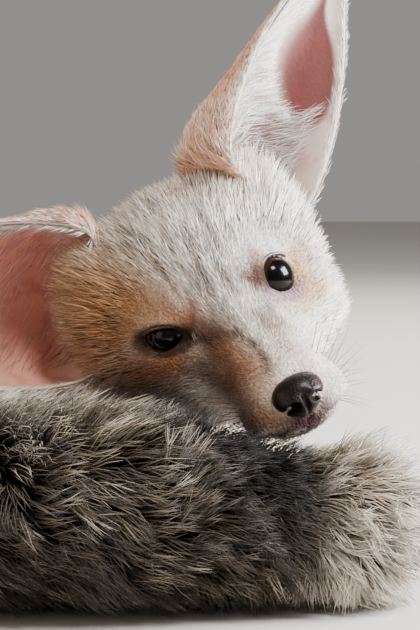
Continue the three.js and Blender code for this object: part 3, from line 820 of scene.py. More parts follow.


# Many strokes are lopsided as painted light: tan and dark strokes laid only or mostly on the animal's
# right paint the shade on that side, and white laid on its left paints the light there.
MARKINGS = (
    ("tan", (15, 5, -1), (22, 0, 3), 6.5, 0.5, 0.2),
    ("tan", (23, -2, 8), (28, -6, 1), 8.5, 0.85),
    ("sand", (22, -6, 14), (26, -14, 18), 8, 0.85),
    ("tan", (14, 5, 8.5), (22, -3, 13), 7, 0.66),
    ("tan", (14, 8.5, 4.5), (8, 12.2, 2.4), 4, 0.66),
    # Painted light: white above and behind the left eye, where the light falls.
    ("white", (22, 2, 6), (29, -8, 8), 8, 0, 0.8),
    ("tan", (18, 9.6, -5), (25, 1.6, -7), 4.6, 0.85),
    ("sand", (15, 11, -4), (20, 9, -6), 3.6, 0, 0.6),
    ("umber", (26, 2, -9), (18, 12, -11), 4, 0.65),
    ("cream", (0, 24, -4), (0, 40, -9), 2.6, 0.7, 0.7),
    ("white", (2, 38, -11), (9, 40, -19), 4.5, 0.7, 0.9),
    # Painted shade down both sides of the muzzle's bridge.
    ("grey_brown", (5.4, 18, -2.5), (5, 24, -5.5), 2.2, 0.5, 0.5),
    # Painted shade over the dark whisker pad on the muzzle's right side.
    ("dark", (12.5, 15, -8), (11, 25, -12.5), 4.4, 0.9, 0.1),
    ("umber", (11, 28, -14), (10.5, 35, -17), 3.4, 0.75, 0.1),
    ("rufous", (10.5, 13, 1), (6, 19, -2.5), 3.6, 0.55),
    ("dark", (10.6, 12, 0), (7.6, 16.5, -3.2), 2.4, 0.95, 0.45),
    ("dark", (7.6, 16.5, -3.2), (7.6, 26, -8.5), 2.2, 0.85, 0.2),
    ("rufous", (8.4, 10.6, 4), (8.5, 11, 1), 2.2, 0.5, 0.9),
    ("dark", (9, 11, 1), (8.6, 11.6, -0.5), 1.3, 0.6, 0.8),
    ("white", (9, 41, -21), (11, 30, -22), 2.4, 0.2, 0.4),
    ("umber", (5.6, 15.4, -0.6), (6.6, 20.3, -5.1), 3.4, 0.7, 0.1),
    ("tan", (7, 21, -6), (8.4, 28.7, -10.5), 5, 0.6),
    # More painted shade on the right side of the muzzle, mixed with its own brown.
    ("umber", (9, 16, -6), (9.5, 27, -11.5), 3.4, 0.55),
    ("rufous", (8.4, 29, -11), (10, 41, -17), 4.6, 0.6),
    ("umber", (8.4, 29, -11), (9.6, 40, -15), 4.2, 0.6),
    ("peach", (3.4, 31, -8.5), (4, 40, -12), 4, 0.6, 0.15),
    ("tan", (9, 41.5, -17), (6, 44, -19.5), 3.4, 0.6, 0.1),
    ("umber", (10, 41, -17.5), (7, 43, -21), 3.6, 0.25, 0.2),
    ("mauve", (0, 44.5, -21), (0, 42, -25), 3.6, 0.9, 0.85),
    # Painted shade: the right lower jaw, darkened into the shadow beside the tail.
    ("dark", (25, 4, -10), (15.5, 13.5, -19), 5, 0.8),
    ("umber", (30, -13, -7), (22, 7, -9), 5, 0.9),
    ("rufous", (15, 12, -5), (24, 3, -5), 3.6, 0.5),
    ("sand", (22.5, 3, 1), (21, 7, -4.5), 4.4, 0, 0.9),
    ("sand", (20, 8, -5), (15.5, 12.5, -6.5), 3, 0, 0.65),
    ("rufous", (13, 6.3, 8), (9.3, 11.4, 2.8), 2.4, 0.3, 0.75),
    ("umber", (11, 9, 5.4), (9.4, 11.2, 2.6), 2.2, 0, 0.85),
    ("lilac", (9.6, 12.8, 0), (12, 12.6, -2.6), 1.7, 0, 0.9),
    ("lilac", (12, 12.6, -2.6), (16.4, 9.4, -4.2), 1.6, 0, 0.8),
    ("grey_brown", (8.6, 15, -3), (8.7, 19, -6.5), 1.7, 0, 0.5),
    # Painted light: a cool lilac tinge on the muzzle above the nose.
    ("lilac", (4.4, 37, -10.5), (4.4, 41.6, -11.5), 2.4, 0.2, 0.5),
)

HEAD_STROKES = [Stroke(*marking) for marking in MARKINGS]

LIPS = ((8, 42.6, -21), (2.6, 44, -21.2), (-1.5, 42.1, -22.9), (-4.4, 44.1, -20.8))

# A crease down the right of the muzzle's bridge, painted dark as shade.
FOLD_SHADE = ((5.2, 18.5, -2.6), (1.9, 22, -3.9), (0.6, 26.6, -5.8), (1.1, 33, -7.7), (2.8, 39.5, -9.3))


def head_tint(local: ndarray) -> ndarray:
    """The coat's colour on the head.

    Args:
        local: Points in the head's frame.

    Returns:
        A linear colour for each.
    """
    mirrored = local * np.where(local[:, :1] < 0, [-1.0, 1, 1], [1.0, 1, 1])
    x, y, z = mirrored.T
    on_left = local[:, 0] < 0
    streak = ripple(local * (1, 0.13, 0.34), 3.4, 3)
    paint = Paint("grey_cream", len(local))
    paint.lay("sand", 0.95 * ease(-8, -26, y) * ease(-14, 4, z))
    paint.lay("white", 0.92 * ease(-5, -14, z) * ease(8, 15, x))
    paint.lay("white", 0.9 * ease(-21, -26, z + 0.15 * np.maximum(y, 0)))
    paint.lay("grey_brown", 0.8 * ease(0, 0.9, streak) * ease(-4, 6, z) * ease(24, 14, y))
    paint.lay("umber", 0.2 * ease(0.5, 1.1, streak) * ease(-2, 8, z) * ease(22, 10, y))
    paint.lay("white", 0.85 * ease(-0.1, -0.8, streak) * ease(-4, 6, z))
    forehead = near_stroke(mirrored, (0, 0, 15), (0, 21, -2), 5.5)
    paint.lay("grey_brown", 0.6 * forehead * ease(-0.6, 0.8, streak))
    paint.lay("white", 0.75 * near(local, EARS[1].start, 24))
    flecked = ease(-0.9, 0.3, ripple(local, 5, 23)) * ease(0, -6, y)
    paint.lay("peach", 0.55 * near(local, EARS[1].start, 21) * flecked)
    for stroke in HEAD_STROKES:
        mark = near_stroke(mirrored, stroke.start, stroke.end, stroke.reach)
        paint.lay(stroke.colour, mark * np.where(on_left, stroke.left, stroke.share))
    # Painted shade in the snout's wrinkles, which are not modelled: rufous stripes across the muzzle.
    wrinkle_shade = near_stroke(mirrored, (5.6, 22, -5.5), (5, 34, -9), 2.8)
    paint.lay("rufous", 0.8 * wrinkle_shade * ease(-0.2, 0.7, np.sin(2.6 * (0.8 * y + 0.6 * x))))
    # Painted shade along the crease.
    for start, end in zip(FOLD_SHADE, FOLD_SHADE[1:]):
        paint.lay("umber", 0.65 * near_stroke(local, start, end, 1.2))
    for start, end in zip(LIPS, LIPS[1:]):
        lip = near_stroke(local, start, end, 2.4)
        paint.lay("mauve", 0.85 * lip * ease(9, 3, local[:, 0]))
    mouth = np.exp(-(((z - through(HEAD.mouth, y)) / 0.9) ** 2)) * ease(14, 20, y)
    paint.lay("mauve", 0.9 * mouth)
    for eye in EYES:
        seen = eye.to_eye(local)
        close = np.flatnonzero((seen[:, 2] > 0) & (norm(seen, axis=1) < 14))
        edge = np.zeros(len(local))
        reach = 1.1 + (1.5 * ease(3, 6.5, np.abs(seen[close, 0])) if eye.side is Side.RIGHT else 0)
        edge[close] = ease(reach, 0.3, eye.outside(seen[close]))
        outer = ease(-5.5, 0.5, seen[:, 0]) if eye.side is Side.LEFT else 1.0
        paint.lay("dark", 0.9 * edge * outer)
        if eye.side is Side.LEFT:
            paint.lay("lilac", 0.85 * edge * ease(1.5, 4.5, 0.5 * seen[:, 0] - 0.8 * seen[:, 1]))
    return paint.colour


def trunk_tint(points: ndarray, foot: ndarray) -> ndarray:
    """The coat's colour on the trunk and legs.

    Args:
        points: Points of the skin.
        foot: How much each belongs to a foot.

    Returns:
        A linear colour for each.
    """
    x, y, z = points.T
    patch = ripple(points, 38, 4)
    from_curl = np.hypot(x + CURL, np.maximum(y, 0))
    back = ease(18, 46, z + 0.14 * (from_curl - 60)) * (1 - foot)
    paint = Paint("cream", len(points))
    paint.lay("sand", back * (0.85 + 0.25 * patch))
    paint.lay("tan", 0.35 * ease(46, 62, z) * np.clip(0.7 + patch, 0, 1))
    paint.lay("white", 0.8 * near(points, (14, -58, 26), 26) + 0.5 * foot)
    return paint.colour


# The ends of the painted shadow where the chin lies on the tail.
BEHIND_CHIN = (14, -121, 37)
UNDER_CHIN = (27, -146, 37)


def dusky_and_shaded(points: ndarray) -> ndarray:
    """1 on the darker left and middle of the tail, as the photograph shows it: partly its own darker
    hair and partly painted shade from the head.
    """
    return ease(40, 27, points[:, 0]) * ease(42, 30, points[:, 2])


def frosted_and_lit(points: ndarray) -> ndarray:
    """1 on the paler end of the tail and on the top of its left part, partly pale hair and partly
    painted light.
    """
    end = ease(30, 43, points[:, 0])
    return np.maximum(end, ease(32, 43, points[:, 2]) * ease(10, -20, points[:, 0]))


def chin_shadow(points: ndarray) -> ndarray:
    """1 in the hollow of the tail that the chin lies in, where a shadow is painted into the hair."""
    return near_stroke(points, BEHIND_CHIN, UNDER_CHIN, 15)


def tail_tint(points: ndarray) -> ndarray:
    """The coat's colour on the tail.

    Args:
        points: Points of the skin.

    Returns:
        A linear colour for each.
    """
    u, _ = TAIL.line.nearest(points)
    patch = ripple(points, 24, 6)
    paint = Paint("tail_buff", len(points))
    paint.lay("tail_brown", 0.4 + 0.6 * patch)
    paint.lay("tail_dark", 0.7 * ease(0.2, 0.9, ripple(points, 13, 16)))
    # Painted shade from the head, over the darker hair of the tail's left and middle.
    paint.lay("tail_dark", 0.7 * dusky_and_shaded(points))
    # Paler hair and painted light on the end of the tail and on the top of its left part.
    paint.lay("grey_cream", 0.75 * frosted_and_lit(points) * ease(-1.2, 0.3, patch))
    paint.lay("sand", 0.5 * ease(0.2, 0.02, u))
    paint.lay("tail_dark", 0.6 * ease(0.95, 1, u))
    # Painted shadow in the hollow that the chin lies in.
    paint.lay("tail_dark", 1.6 * chin_shadow(points))
    return paint.colour


def markings(points: ndarray, part: ndarray) -> tuple[ndarray, ndarray]:
    """The colour of the coat and how strongly its hairs are banded.

    Args:
        points: Points of the skin.
        part: The number of the part that each belongs to.

    Returns:
        The colours, and the strength of the banding from 0 to 1.
    """
    tint = np.zeros_like(points)
    banded = np.zeros(len(points))
    head, trunk, tail = (part == kind.value for kind in Part)
    local = HEAD.to_local(points[head])
    tint[head] = head_tint(local)
    banded[head] = 0.25 * ease(0, 14, local[:, 2]) + 0.1
    foot = followed(points[trunk])[2]
    tint[trunk] = trunk_tint(points[trunk], foot)
    banded[trunk] = 0.15 + 0.4 * ease(30, 58, points[trunk, 2]) * (1 - foot)
    tint[tail] = tail_tint(points[tail])
    # No pale band on the tail's hairs in the painted shadow under the chin, and a weaker one where
    # shade is painted on its left and middle.
    banded[tail] = (1 - 0.5 * dusky_and_shaded(points[tail])) * (1 - chin_shadow(points[tail]))
    return tint, banded


# Materials


class Tree:
    """A material's or a group's nodes, added in a few words."""

    def __init__(self, tree: NodeTree) -> None:
        """Starts an empty tree."""
        self.tree = tree
        tree.nodes.clear()

    def add(self, kind: str, options: dict | None = None, **inputs: object) -> bpy.types.Node:
        """Adds a node.

        Args:
            kind: The node's type, without the word ShaderNode.
            options: The node's own settings.
            inputs: Values or sockets for its inputs, with _ for a space.

        Returns:
            The node.
        """
        node = self.tree.nodes.new(kind if kind.startswith("NodeGroup") else f"ShaderNode{kind}")
        for key, value in (options or {}).items():
            setattr(node, key, value)
        for name, value in inputs.items():
            self.put(node.inputs[name.replace("_", " ")], value)
        return node

    def put(self, socket: NodeSocket, value: object) -> None:
        """Links a socket to another one, or sets its value."""
        if isinstance(value, NodeSocket):
            self.tree.links.new(value, socket)
        else:
            socket.default_value = (*linear(value), 1) if isinstance(value, str) else value

    def maths(self, operation: str, a: object, b: object) -> NodeSocket:
        """The result of a Math node."""
        node = self.add("Math", {"operation": operation})
        self.put(node.inputs[0], a)
        self.put(node.inputs[1], b)
        return node.outputs[0]

    def mixed(self, share: object, a: object, b: object, how: str = "MIX") -> NodeSocket:
        """A mix of two colours."""
        node = self.add("Mix", {"data_type": "RGBA", "blend_type": how})
        for index, value in ((0, share), (6, a), (7, b)):
            self.put(node.inputs[index], value)
        return node.outputs[2]

    def times(self, colour: NodeSocket, factor: NodeSocket) -> NodeSocket:
        """A colour times a number."""
        grey = self.add("CombineColor", None, Red=factor, Green=factor, Blue=factor)
        return self.mixed(1.0, colour, grey.outputs[0], "MULTIPLY")

    def between(
        self, value: object, low: object, high: object, start: float = 0, end: float = 1
    ) -> NodeSocket:
        """A value carried from one range smoothly to another."""
        ranges = {"From_Min": low, "From_Max": high, "To_Min": start, "To_Max": end}
        smooth = {"interpolation_type": "SMOOTHSTEP"}
        return self.add("MapRange", smooth, Value=value, **ranges).outputs[0]

    def kept(self, name: str, output: str = "Fac") -> NodeSocket:
        """A number or colour that the piece keeps for each vertex."""
        return self.add("Attribute", {"attribute_name": name}).outputs[output]

    def noise(self, scale: object, detail: float = 3, vector: object = None) -> NodeSocket:
        """Noise, in the object's own space unless a vector is given."""
        where = vector or self.add("TexCoord").outputs["Object"]
        return self.add("TexNoise", None, Vector=where, Scale=scale, Detail=detail).outputs["Fac"]

    def hair_colour(self, along: object, shade: object) -> NodeSocket:
        """The colour of hair, in the tint that its piece keeps."""
        looks = {"Tint": self.kept("tint", "Color"), "Banded": self.kept("banded")}
        group = {"node_tree": hair_colour_group()}
        return self.add("Group", group, Along=along, Shade=shade, **looks).outputs["Color"]


def new_group(
    name: str, inputs: Sequence[str], outputs: dict[str, str]
) -> tuple[Tree, list[NodeSocket]]:
    """A node group with named sockets.

    Args:
        name: The group's name.
        inputs: Its inputs. The tint is a colour and the others are numbers.
        outputs: The kind of each output.

    Returns:
        The group's tree, and what comes in through its inputs.
    """
    group = bpy.data.node_groups.new(name, "ShaderNodeTree")
    kinds = {given: "Color" if given == "Tint" else "Float" for given in inputs}
    for sockets, direction in ((kinds, "INPUT"), (outputs, "OUTPUT")):
        for socket, kind in sockets.items():
            group.interface.new_socket(socket, in_out=direction, socket_type=f"NodeSocket{kind}")
    tree = Tree(group)
    given = tree.add("NodeGroupInput").outputs
    return tree, [given[socket] for socket in inputs]


@cache
def hair_colour_group() -> NodeTree:
    """Colours a hair along its length, darker towards its root as painted shade deep in the coat.
    Banded hairs have a dark base, a pale band and a dark tip.
    """
    inputs = ("Tint", "Along", "Banded", "Shade")
    tree, (tint, along, banded, shade) = new_group("hair_colour", inputs, {"Color": "Color"})
    soot, straw = "17110e", "fff4e0"
    # Painted shade: every hair darker towards its root.
    root_shaded = tree.times(tint, tree.between(along, 0.0, 0.35, 0.42, 1.0))
    varied = tree.times(root_shaded, tree.between(shade, 0.0, 1.0, 0.5, 1.42))
    band = tree.mixed(0.07, varied, tree.mixed(1.0, varied, straw, "ADD"))
    pale = tree.mixed(tree.between(along, 0.35, 0.6), varied, band)
    tip_start = tree.maths("ADD", 0.62, tree.maths("MULTIPLY", shade, 0.5))
    tip = tree.between(along, tip_start, tree.maths("ADD", tip_start, 0.15))
    dark_base = tree.between(along, 0.5, 0.12, 0.0, 0.92)
    banded_hair = tree.mixed(dark_base, tree.mixed(tip, pale, soot), soot)
    tree.add("NodeGroupOutput", None, Color=tree.mixed(banded, varied, banded_hair))
    return tree.tree


@cache
def grain_group() -> NodeTree:
    """Fine pores and mottling, as a height and a value to vary a colour by."""
    outputs = {"Height": "Float", "Value": "Float"}
    tree, (scale, depth) = new_group("grain", ("Scale", "Depth"), outputs)
    where = tree.add("TexCoord").outputs["Object"]
    pores = tree.add("TexVoronoi", {"feature": "F1"}, Vector=where, Scale=scale)
    height = tree.maths("MULTIPLY", pores.outputs["Distance"], depth)
    tree.add("NodeGroupOutput", None, Height=height, Value=tree.noise(scale, 4.0, where))
    return tree.tree


class Finish:
    """What every finish has: one shader, and a grain that raises its surface if it has a scale."""

    name: str
    scale: float = 0.0
    depth: float = 0.5
    lift: float = 0.0001

    def look(self, tree: Tree, value: object) -> Inputs:
        """What the shader gets.

        Args:
            tree: The material's nodes.
            value: The grain's value, to vary a colour by.

        Returns:
            The shader's inputs, with _ for a space.
        """
        raise NotImplementedError

    def make(self) -> Material:
        """Builds the material.

        Returns:
            The material.
        """
        material = bpy.data.materials.new(self.name)
        material.use_nodes = True
        tree = Tree(material.node_tree)
        if not self.scale:
            shader = tree.add("BsdfPrincipled", None, **self.look(tree, None))
        else:
            group = {"node_tree": grain_group()}
            grain = tree.add("Group", group, Scale=self.scale, Depth=self.depth).outputs
            shader = tree.add("BsdfPrincipled", None, **self.look(tree, grain["Value"]))
            raised = tree.add("Bump", None, Height=grain["Height"], Distance=self.lift, Strength=1.0)
            tree.put(shader.inputs["Normal"], raised.outputs[0])
        tree.add("OutputMaterial", None, Surface=shader.outputs[0])
        return material


@dataclass(frozen=True)
class CoatFinish(Finish):
    """Hair, in the colours that its piece keeps for each vertex."""

    name: str
    roughness: float = 0.62
    gloss: float = 0.28
    sheen: float = 0.1

    def look(self, tree: Tree, value: object) -> Inputs:
        """Matt hair with a soft sheen."""
        return dict(
            Base_Color=tree.hair_colour(tree.kept("along"), tree.kept("shade")),
            Roughness=self.roughness,
            Specular_IOR_Level=self.gloss,
            Sheen_Weight=self.sheen,
            Sheen_Roughness=0.4,
        )


@dataclass(frozen=True)
class HideFinish(Finish):
    """The skin under the coat, in the coat's own colours, with the shortest fur as bump."""

    name: str = "hide"
    scale: float = 1400.0
    depth: float = 0.6
    lift: float = 0.0006
    in_shade: float = 0.22

    def look(self, tree: Tree, value: object) -> Inputs:
        """As dark as hair is near its root, in the painted shade under the coat."""
        colour = tree.hair_colour(self.in_shade, value)
        return dict(Base_Color=colour, Roughness=0.85, Specular_IOR_Level=0.15)


@dataclass(frozen=True)
class EarFinish(Finish):
    """Thin pink skin, paler at the margins and red-brown down the middle, with light in it."""

    name: str
    inside: str
    strip: str
    scale: float = 900.0
    lift: float = 0.00014

    def look(self, tree: Tree, value: object) -> Inputs:
        """The inside, the back and the rim, with faint veins."""
        inside = tree.mixed(tree.kept("strip"), self.inside, self.strip)
        back = tree.mixed(tree.between(value, 0.35, 0.7), "cb9a78", "dfb797")
        skin = tree.mixed(tree.kept("back"), inside, back)
        rimmed = tree.mixed(tree.kept("rim"), skin, "efe3da")
        veins = tree.between(tree.noise(160.0, 5), 0.5, 0.62, 0.0, 0.25)
        return dict(
            Base_Color=tree.mixed(veins, rimmed, "8a3b34"),
            Roughness=0.55,
            Specular_IOR_Level=0.3,
            Subsurface_Weight=0.35,
            Subsurface_Radius=(1.0, 0.35, 0.2),
            Subsurface_Scale=0.003,
        )


@dataclass(frozen=True)
class NoseFinish(Finish):
    """Dark damp leather with fine cobbles."""

    name: str = "nose_leather"
    scale: float = 1900.0
    depth: float = 1.0
    lift: float = 0.00013

    def look(self, tree: Tree, value: object) -> Inputs:
        """Near black, with a painted glow of red light on one wing, and darkest in the nostrils as
        painted shade.
        """
        worn = tree.mixed(tree.between(value, 0.3, 0.7), "060304", "170d0e")
        reddened = tree.mixed(tree.kept("wing"), worn, "431a20")
        return dict(
            Base_Color=tree.mixed(tree.kept("hollow"), reddened, "050303"),
            Roughness=tree.between(value, 0.3, 0.7, 0.36, 0.5),
            Specular_IOR_Level=0.1,
            Coat_Weight=0.25,
            Coat_Roughness=0.28,
        )


@dataclass(frozen=True)
class EyeFinish(Finish):
    """A dark brown iris round a wide pupil, under a wet cornea."""

    name: str = "eye"
    pupil: float = 0.58
    iris: float = 1.0

    def look(self, tree: Tree, value: object) -> Inputs:
        """Fibres that run out from the pupil to a dark rim."""
        off, spin = tree.kept("off_gaze"), tree.kept("spin")
        bearing, out = tree.maths("MULTIPLY", spin, 9.0), tree.maths("MULTIPLY", off, 1.2)
        rays = tree.add("CombineXYZ", None, X=bearing, Y=out).outputs[0]
        brown = tree.mixed(tree.noise(3.0, 4.0, rays), "1a0f0a", "3c2416")
        rim = tree.mixed(tree.between(off, self.iris - 0.3, self.iris), brown, "0a0605")
        return dict(
            Base_Color=tree.mixed(tree.between(off, self.pupil, self.pupil + 0.12), "020202", rim),
            Roughness=0.2,
            Specular_IOR_Level=0.1,
            Coat_Weight=0.38,
            Coat_Roughness=0.02,
            Coat_IOR=1.38,
        )


@dataclass(frozen=True)
class MarginFinish(Finish):
    """The bare wet edge of the lids, dark above and pale pink below."""

    name: str = "lid_margin"
    scale: float = 2500.0

    def look(self, tree: Tree, value: object) -> Inputs:
        """Wet skin in two colours."""
        dark = tree.mixed(value, "1a100e", "37231f")
        colour = tree.mixed(tree.kept("pale"), dark, "b79aa6")
        return dict(Base_Color=colour, Roughness=0.3, Coat_Weight=0.4, Coat_Roughness=0.15)


@dataclass(frozen=True)
class HornFinish(Finish):
    """Claws: brown at the base and paler towards the point."""

    name: str = "claw_horn"
    scale: float = 1200.0
    depth: float = 0.4

    def look(self, tree: Tree, value: object) -> Inputs:
        """Smooth horn with a little dirt."""
        horn = tree.mixed(tree.kept("along"), "3d2f27", "a8937c")
        colour = tree.mixed(tree.between(value, 0.3, 0.7, 0.0, 0.3), horn, "2a201b")
        return dict(Base_Color=colour, Roughness=0.4, Coat_Weight=0.2)


@dataclass(frozen=True)
class FloorFinish(Finish):
    """A pale matt studio floor."""

    name: str = "studio_floor"

    def look(self, tree: Tree, value: object) -> Inputs:
        """Plain, hardly mottled."""
        colour = tree.mixed(tree.noise(3.0), "cfcac4", "d6d2cc")
        return dict(Base_Color=colour, Roughness=0.9, Specular_IOR_Level=0.1)


# The skin


def head_depth(local: ndarray) -> ndarray:
    """How deep the coat is on the head."""
    x, y, z = np.abs(local[:, 0]), local[:, 1], local[:, 2]
    depth = through(((-46, 5), (-30, 3.8), (-12, 2.4), (2, 1.4), (14, 1), (30, 0.8), (44, 0.5)), y)
    cheek = ease(8, 22, x) * ease(8, -6, y) * ease(8, -8, z)
    return depth + 1.8 * cheek


def unite(obj: Object, other: Object) -> None:
    """Joins another closed skin to the first one."""
    union = obj.modifiers.new("union", "BOOLEAN")
    union.operation = "UNION"
    union.solver = "MANIFOLD"
    union.object = other
    applied(obj)
    bpy.data.objects.remove(other)


def soften_seams(mesh: Mesh, sources: ndarray) -> None:
    """Smooths the skin where its forms were joined."""
    points = vertex_points(mesh)
    known = set(map(tuple, np.round(sources, 2).tolist()))
    new = np.array([tuple(row) not in known for row in np.round(points, 2).tolist()], float)
    spread = relaxed(mesh, new[:, None], np.full(len(points), 0.8), 10)[:, 0]
    weight = 0.6 * ease(0.005, 0.12, spread)
    set_points(mesh, relaxed(mesh, points, weight, 20))


def vertex_part(mesh: Mesh) -> ndarray:
    """The number of the part that each vertex belongs to."""
    index = np.repeat(read(mesh.polygons, "material_index"), read(mesh.polygons, "loop_total"))
    part = np.zeros(len(mesh.vertices), int)
    part[read(mesh.loops, "vertex_index")] = index
    return part


def unwrap(obj: Object) -> None:
    """Unwraps the skin's own shape into the map that its colours can be baked to."""
    obj.data.uv_layers.new(name=UV_MAP)
    bpy.context.view_layer.objects.active = obj
    obj.select_set(True)
    bpy.ops.object.mode_set(mode="EDIT")
    bpy.ops.mesh.select_all(action="SELECT")
    steepest, margin = math.radians(66), 0.002
    bpy.ops.uv.smart_project(angle_limit=steepest, island_margin=margin)
    bpy.ops.object.mode_set(mode="OBJECT")
    obj.select_set(False)


@dataclass
class Skin:
    """One skin over the head, the trunk, the legs and the tail's core."""

    head_rings: int = 210
    head_sides: int = 240
    voxel: float = 1.9
    flesh: tuple[str, ...] = (
        "neck", "chest", "loin", "rump", "foreleg_right", "foreleg_left", "forepaw_right",
        "forepaw_left", "thigh_right", "thigh_left", "hind_foot_right", "hind_foot_left",
    )
    stands_for: tuple[str, ...] = ("head", "lower_jaw", "tail_base", "tail_middle", "tail_end")

    def head(self) -> Body:
        """The head, with its mouth line, lips, philtrum and lids.

        Returns:
            Its points and faces.
        """

        def place(t: ndarray, angle: ndarray) -> ndarray:
            """Where the point at t and angle is."""
            u = crowded(t)
            y = HEAD.nape + (HEAD.front - HEAD.nape) * u
            at, out = HEAD.surface(y, angle, round_ends(u, 0.16, 0.05))
            return at - out * head_depth(at)[:, None]

        local, faces = closed_skin(self.head_rings, self.head_sides, place)
        y, z = local[:, 1], local[:, 2]
        out = unit(local - np.stack([0 * y, y - 4, through(HEAD.widest, y)], 1))
        below = through(HEAD.mouth, y) - z
        on_muzzle = ease(HEAD.mouth_corner - 2, HEAD.mouth_corner + 3, y)
        groove = 1.5 * np.exp(-((below / 0.75) ** 2)) * on_muzzle
        lower_lip = 1.1 * ease(0, 1.2, below) * ease(8, 26, y)
        upper_lip = 0.5 * np.exp(-(((below + 1.6) / 1.2) ** 2)) * on_muzzle
        philtrum = 0.8 * near_stroke(local, (0, 46, -19), (0, 44, -23), 0.8)
        local = local + out * (upper_lip - groove - lower_lip - philtrum)[:, None]
        for eye in EYES:
            local = eye.fit_lids(local)
        return HEAD.to_world(local), faces

    def trunk(self) -> Object:
        """The trunk and the legs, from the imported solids, drawn in by the coat's depth.

        Returns:
            The form.
        """
        shapes = []
        for name in self.flesh:
            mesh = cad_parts[name].data
            shapes.append((vertex_points(mesh), [triangles(mesh)]))
        obj = new_object("trunk_form", *joined(shapes))
        weld = obj.modifiers.new("weld", "WELD")
        weld.merge_threshold = 0.01 * MM
        remesh = obj.modifiers.new("remesh", "REMESH")
        remesh.mode = "VOXEL"
        remesh.voxel_size = self.voxel * MM
        applied(obj)
        mesh = obj.data
        points = vertex_points(mesh)
        _, coat, foot = followed(points)
        points = relaxed(mesh, points, 0.55 - 0.4 * foot, 26)
        set_points(mesh, points)
        depth = relaxed(mesh, coat[:, None], np.full(len(points), 0.5), 10)
        points = points - vertex_normals(mesh) * depth
        points = relaxed(mesh, points, np.full(len(points), 0.4), 8)
        set_points(mesh, points)
        return obj

    def build(self) -> Object:
        """Builds the skin.

        Returns:
            The skin, unwrapped, with its markings.
        """
        forms = (
            (Part.HEAD, new_object("head_form", *self.head())),
            (Part.TRUNK, self.trunk()),
            (Part.TAIL, new_object("tail_form", *TAIL.core())),
        )
        plain = [bpy.data.materials.new(f"part_{part.name.lower()}") for part in Part]
        for part, obj in forms:
            mesh = obj.data
            a, b, c = (vertex_points(mesh)[corner] for corner in triangles(mesh).T)
            if np.sum(np.cross(a, b) * c) < 0:
                mesh.flip_normals()
            for material in plain:
                mesh.materials.append(material)
            number = np.full(len(mesh.polygons), part.value, np.int32)
            mesh.polygons.foreach_set("material_index", number)
        sources = np.vstack([vertex_points(obj.data) for _, obj in forms])
        skin = forms[0][1]
        for _, other in forms[1:]:
            unite(skin, other)
        mesh = skin.data
        skin.name = mesh.name = "skin"
        soften_seams(mesh, sources)
        mesh.polygons.foreach_set("use_smooth", np.ones(len(mesh.polygons), bool))
        unwrap(skin)
        part = vertex_part(mesh)
        tint, banded = markings(vertex_points(mesh), part)
        mesh.polygons.foreach_set("material_index", np.zeros(len(mesh.polygons), np.int32))
        keep_values(skin, tint=tint, banded=banded, part=part.astype(float))
        return dress(skin, "coat_cream", HideFinish().make(), *self.stands_for, *self.flesh)


# The coat


def along_curve(points: ndarray) -> ndarray:
    """Sorts points along a curve that keeps neighbours together.

    Args:
        points: The points.

    Returns:
        Their order.
    """
    low, high = points.min(0), points.max(0)
    bits = 10
    cells = ((points - low) / (high - low).max() * (2**bits - 1)).astype(np.int64)
    order = np.zeros(len(points), np.int64)
    for bit in range(bits):
        for axis in range(3):
            order |= ((cells[:, axis] >> bit) & 1) << (3 * bit + axis)
    return np.argsort(order, kind="stable")


@dataclass
class Roots:
    """Where hairs grow."""

    at: ndarray
    normal: ndarray
    uv: ndarray
    part: ndarray


class Ground:
    """A skin's triangles, to set roots on."""

    def __init__(self, obj: Object) -> None:
        """Reads the skin.

        Args:
            obj: The skin.
        """
        mesh = obj.data
        corners = triangles(mesh)
        loops = read(mesh.loop_triangles, "loops", 3)
        uv = read(mesh.uv_layers[UV_MAP].data, "uv", 2, np.float32)
        points = vertex_points(mesh)
        part = read(mesh.attributes["part"].data, "value", 1, np.float32)
        order = along_curve(points[corners].mean(1))
        self.corners = points[corners][order]
        self.normals = vertex_normals(mesh)[corners][order]
        self.uv = uv[loops][order]
        self.part = part[corners[:, 0]][order].astype(int)
        self.middle = self.corners.mean(1)
        a, b = (self.corners[:, i] - self.corners[:, 0] for i in (1, 2))
        self.area = norm(np.cross(a, b), axis=1) / 2

    def scatter(self, count: int, density: ndarray, seed: int) -> Roots:
        """Sets roots evenly over the skin.

        Args:
            count: How many.
            density: How thick they stand on each triangle.
            seed: For the random draws.

        Returns:
            The roots, neighbours together.
        """
        draw = np.random.default_rng(seed)
        total = np.cumsum(self.area * density)
        mark = (np.arange(count) + draw.random(count)) / count * total[-1]
        pick = np.minimum(np.searchsorted(total, mark), len(total) - 1)
        a, b = draw.random((2, count))
        over = a + b > 1
        a, b = np.where(over, 1 - a, a), np.where(over, 1 - b, b)
        share = np.stack([1 - a - b, a, b], 1)[..., None]
        return Roots(
            (self.corners[pick] * share).sum(1),
            unit((self.normals[pick] * share).sum(1)),
            (self.uv[pick] * share).sum(1),
            self.part[pick],
        )


@dataclass
class Growth:
    """How the tufts of one piece of coat grow, in millimetres and degrees."""

    flow: ndarray
    length: ndarray | float
    width: ndarray | float
    lift: ndarray | float
    wander: float
    segments: int = 2
    settle: float = 0.7
    clump: int = 1
    pull: float = 0.0
    sunk: float = 0.2

    def __post_init__(self) -> None:
        """Gives each tuft its own measures."""
        for name in ("length", "width", "lift"):
            setattr(self, name, np.broadcast_to(getattr(self, name), len(self.flow)))


def flow_on(normal: ndarray, flow: ndarray) -> ndarray:
    """The flow, laid in the plane of the skin."""
    return unit(flow - normal * dot(flow, normal))


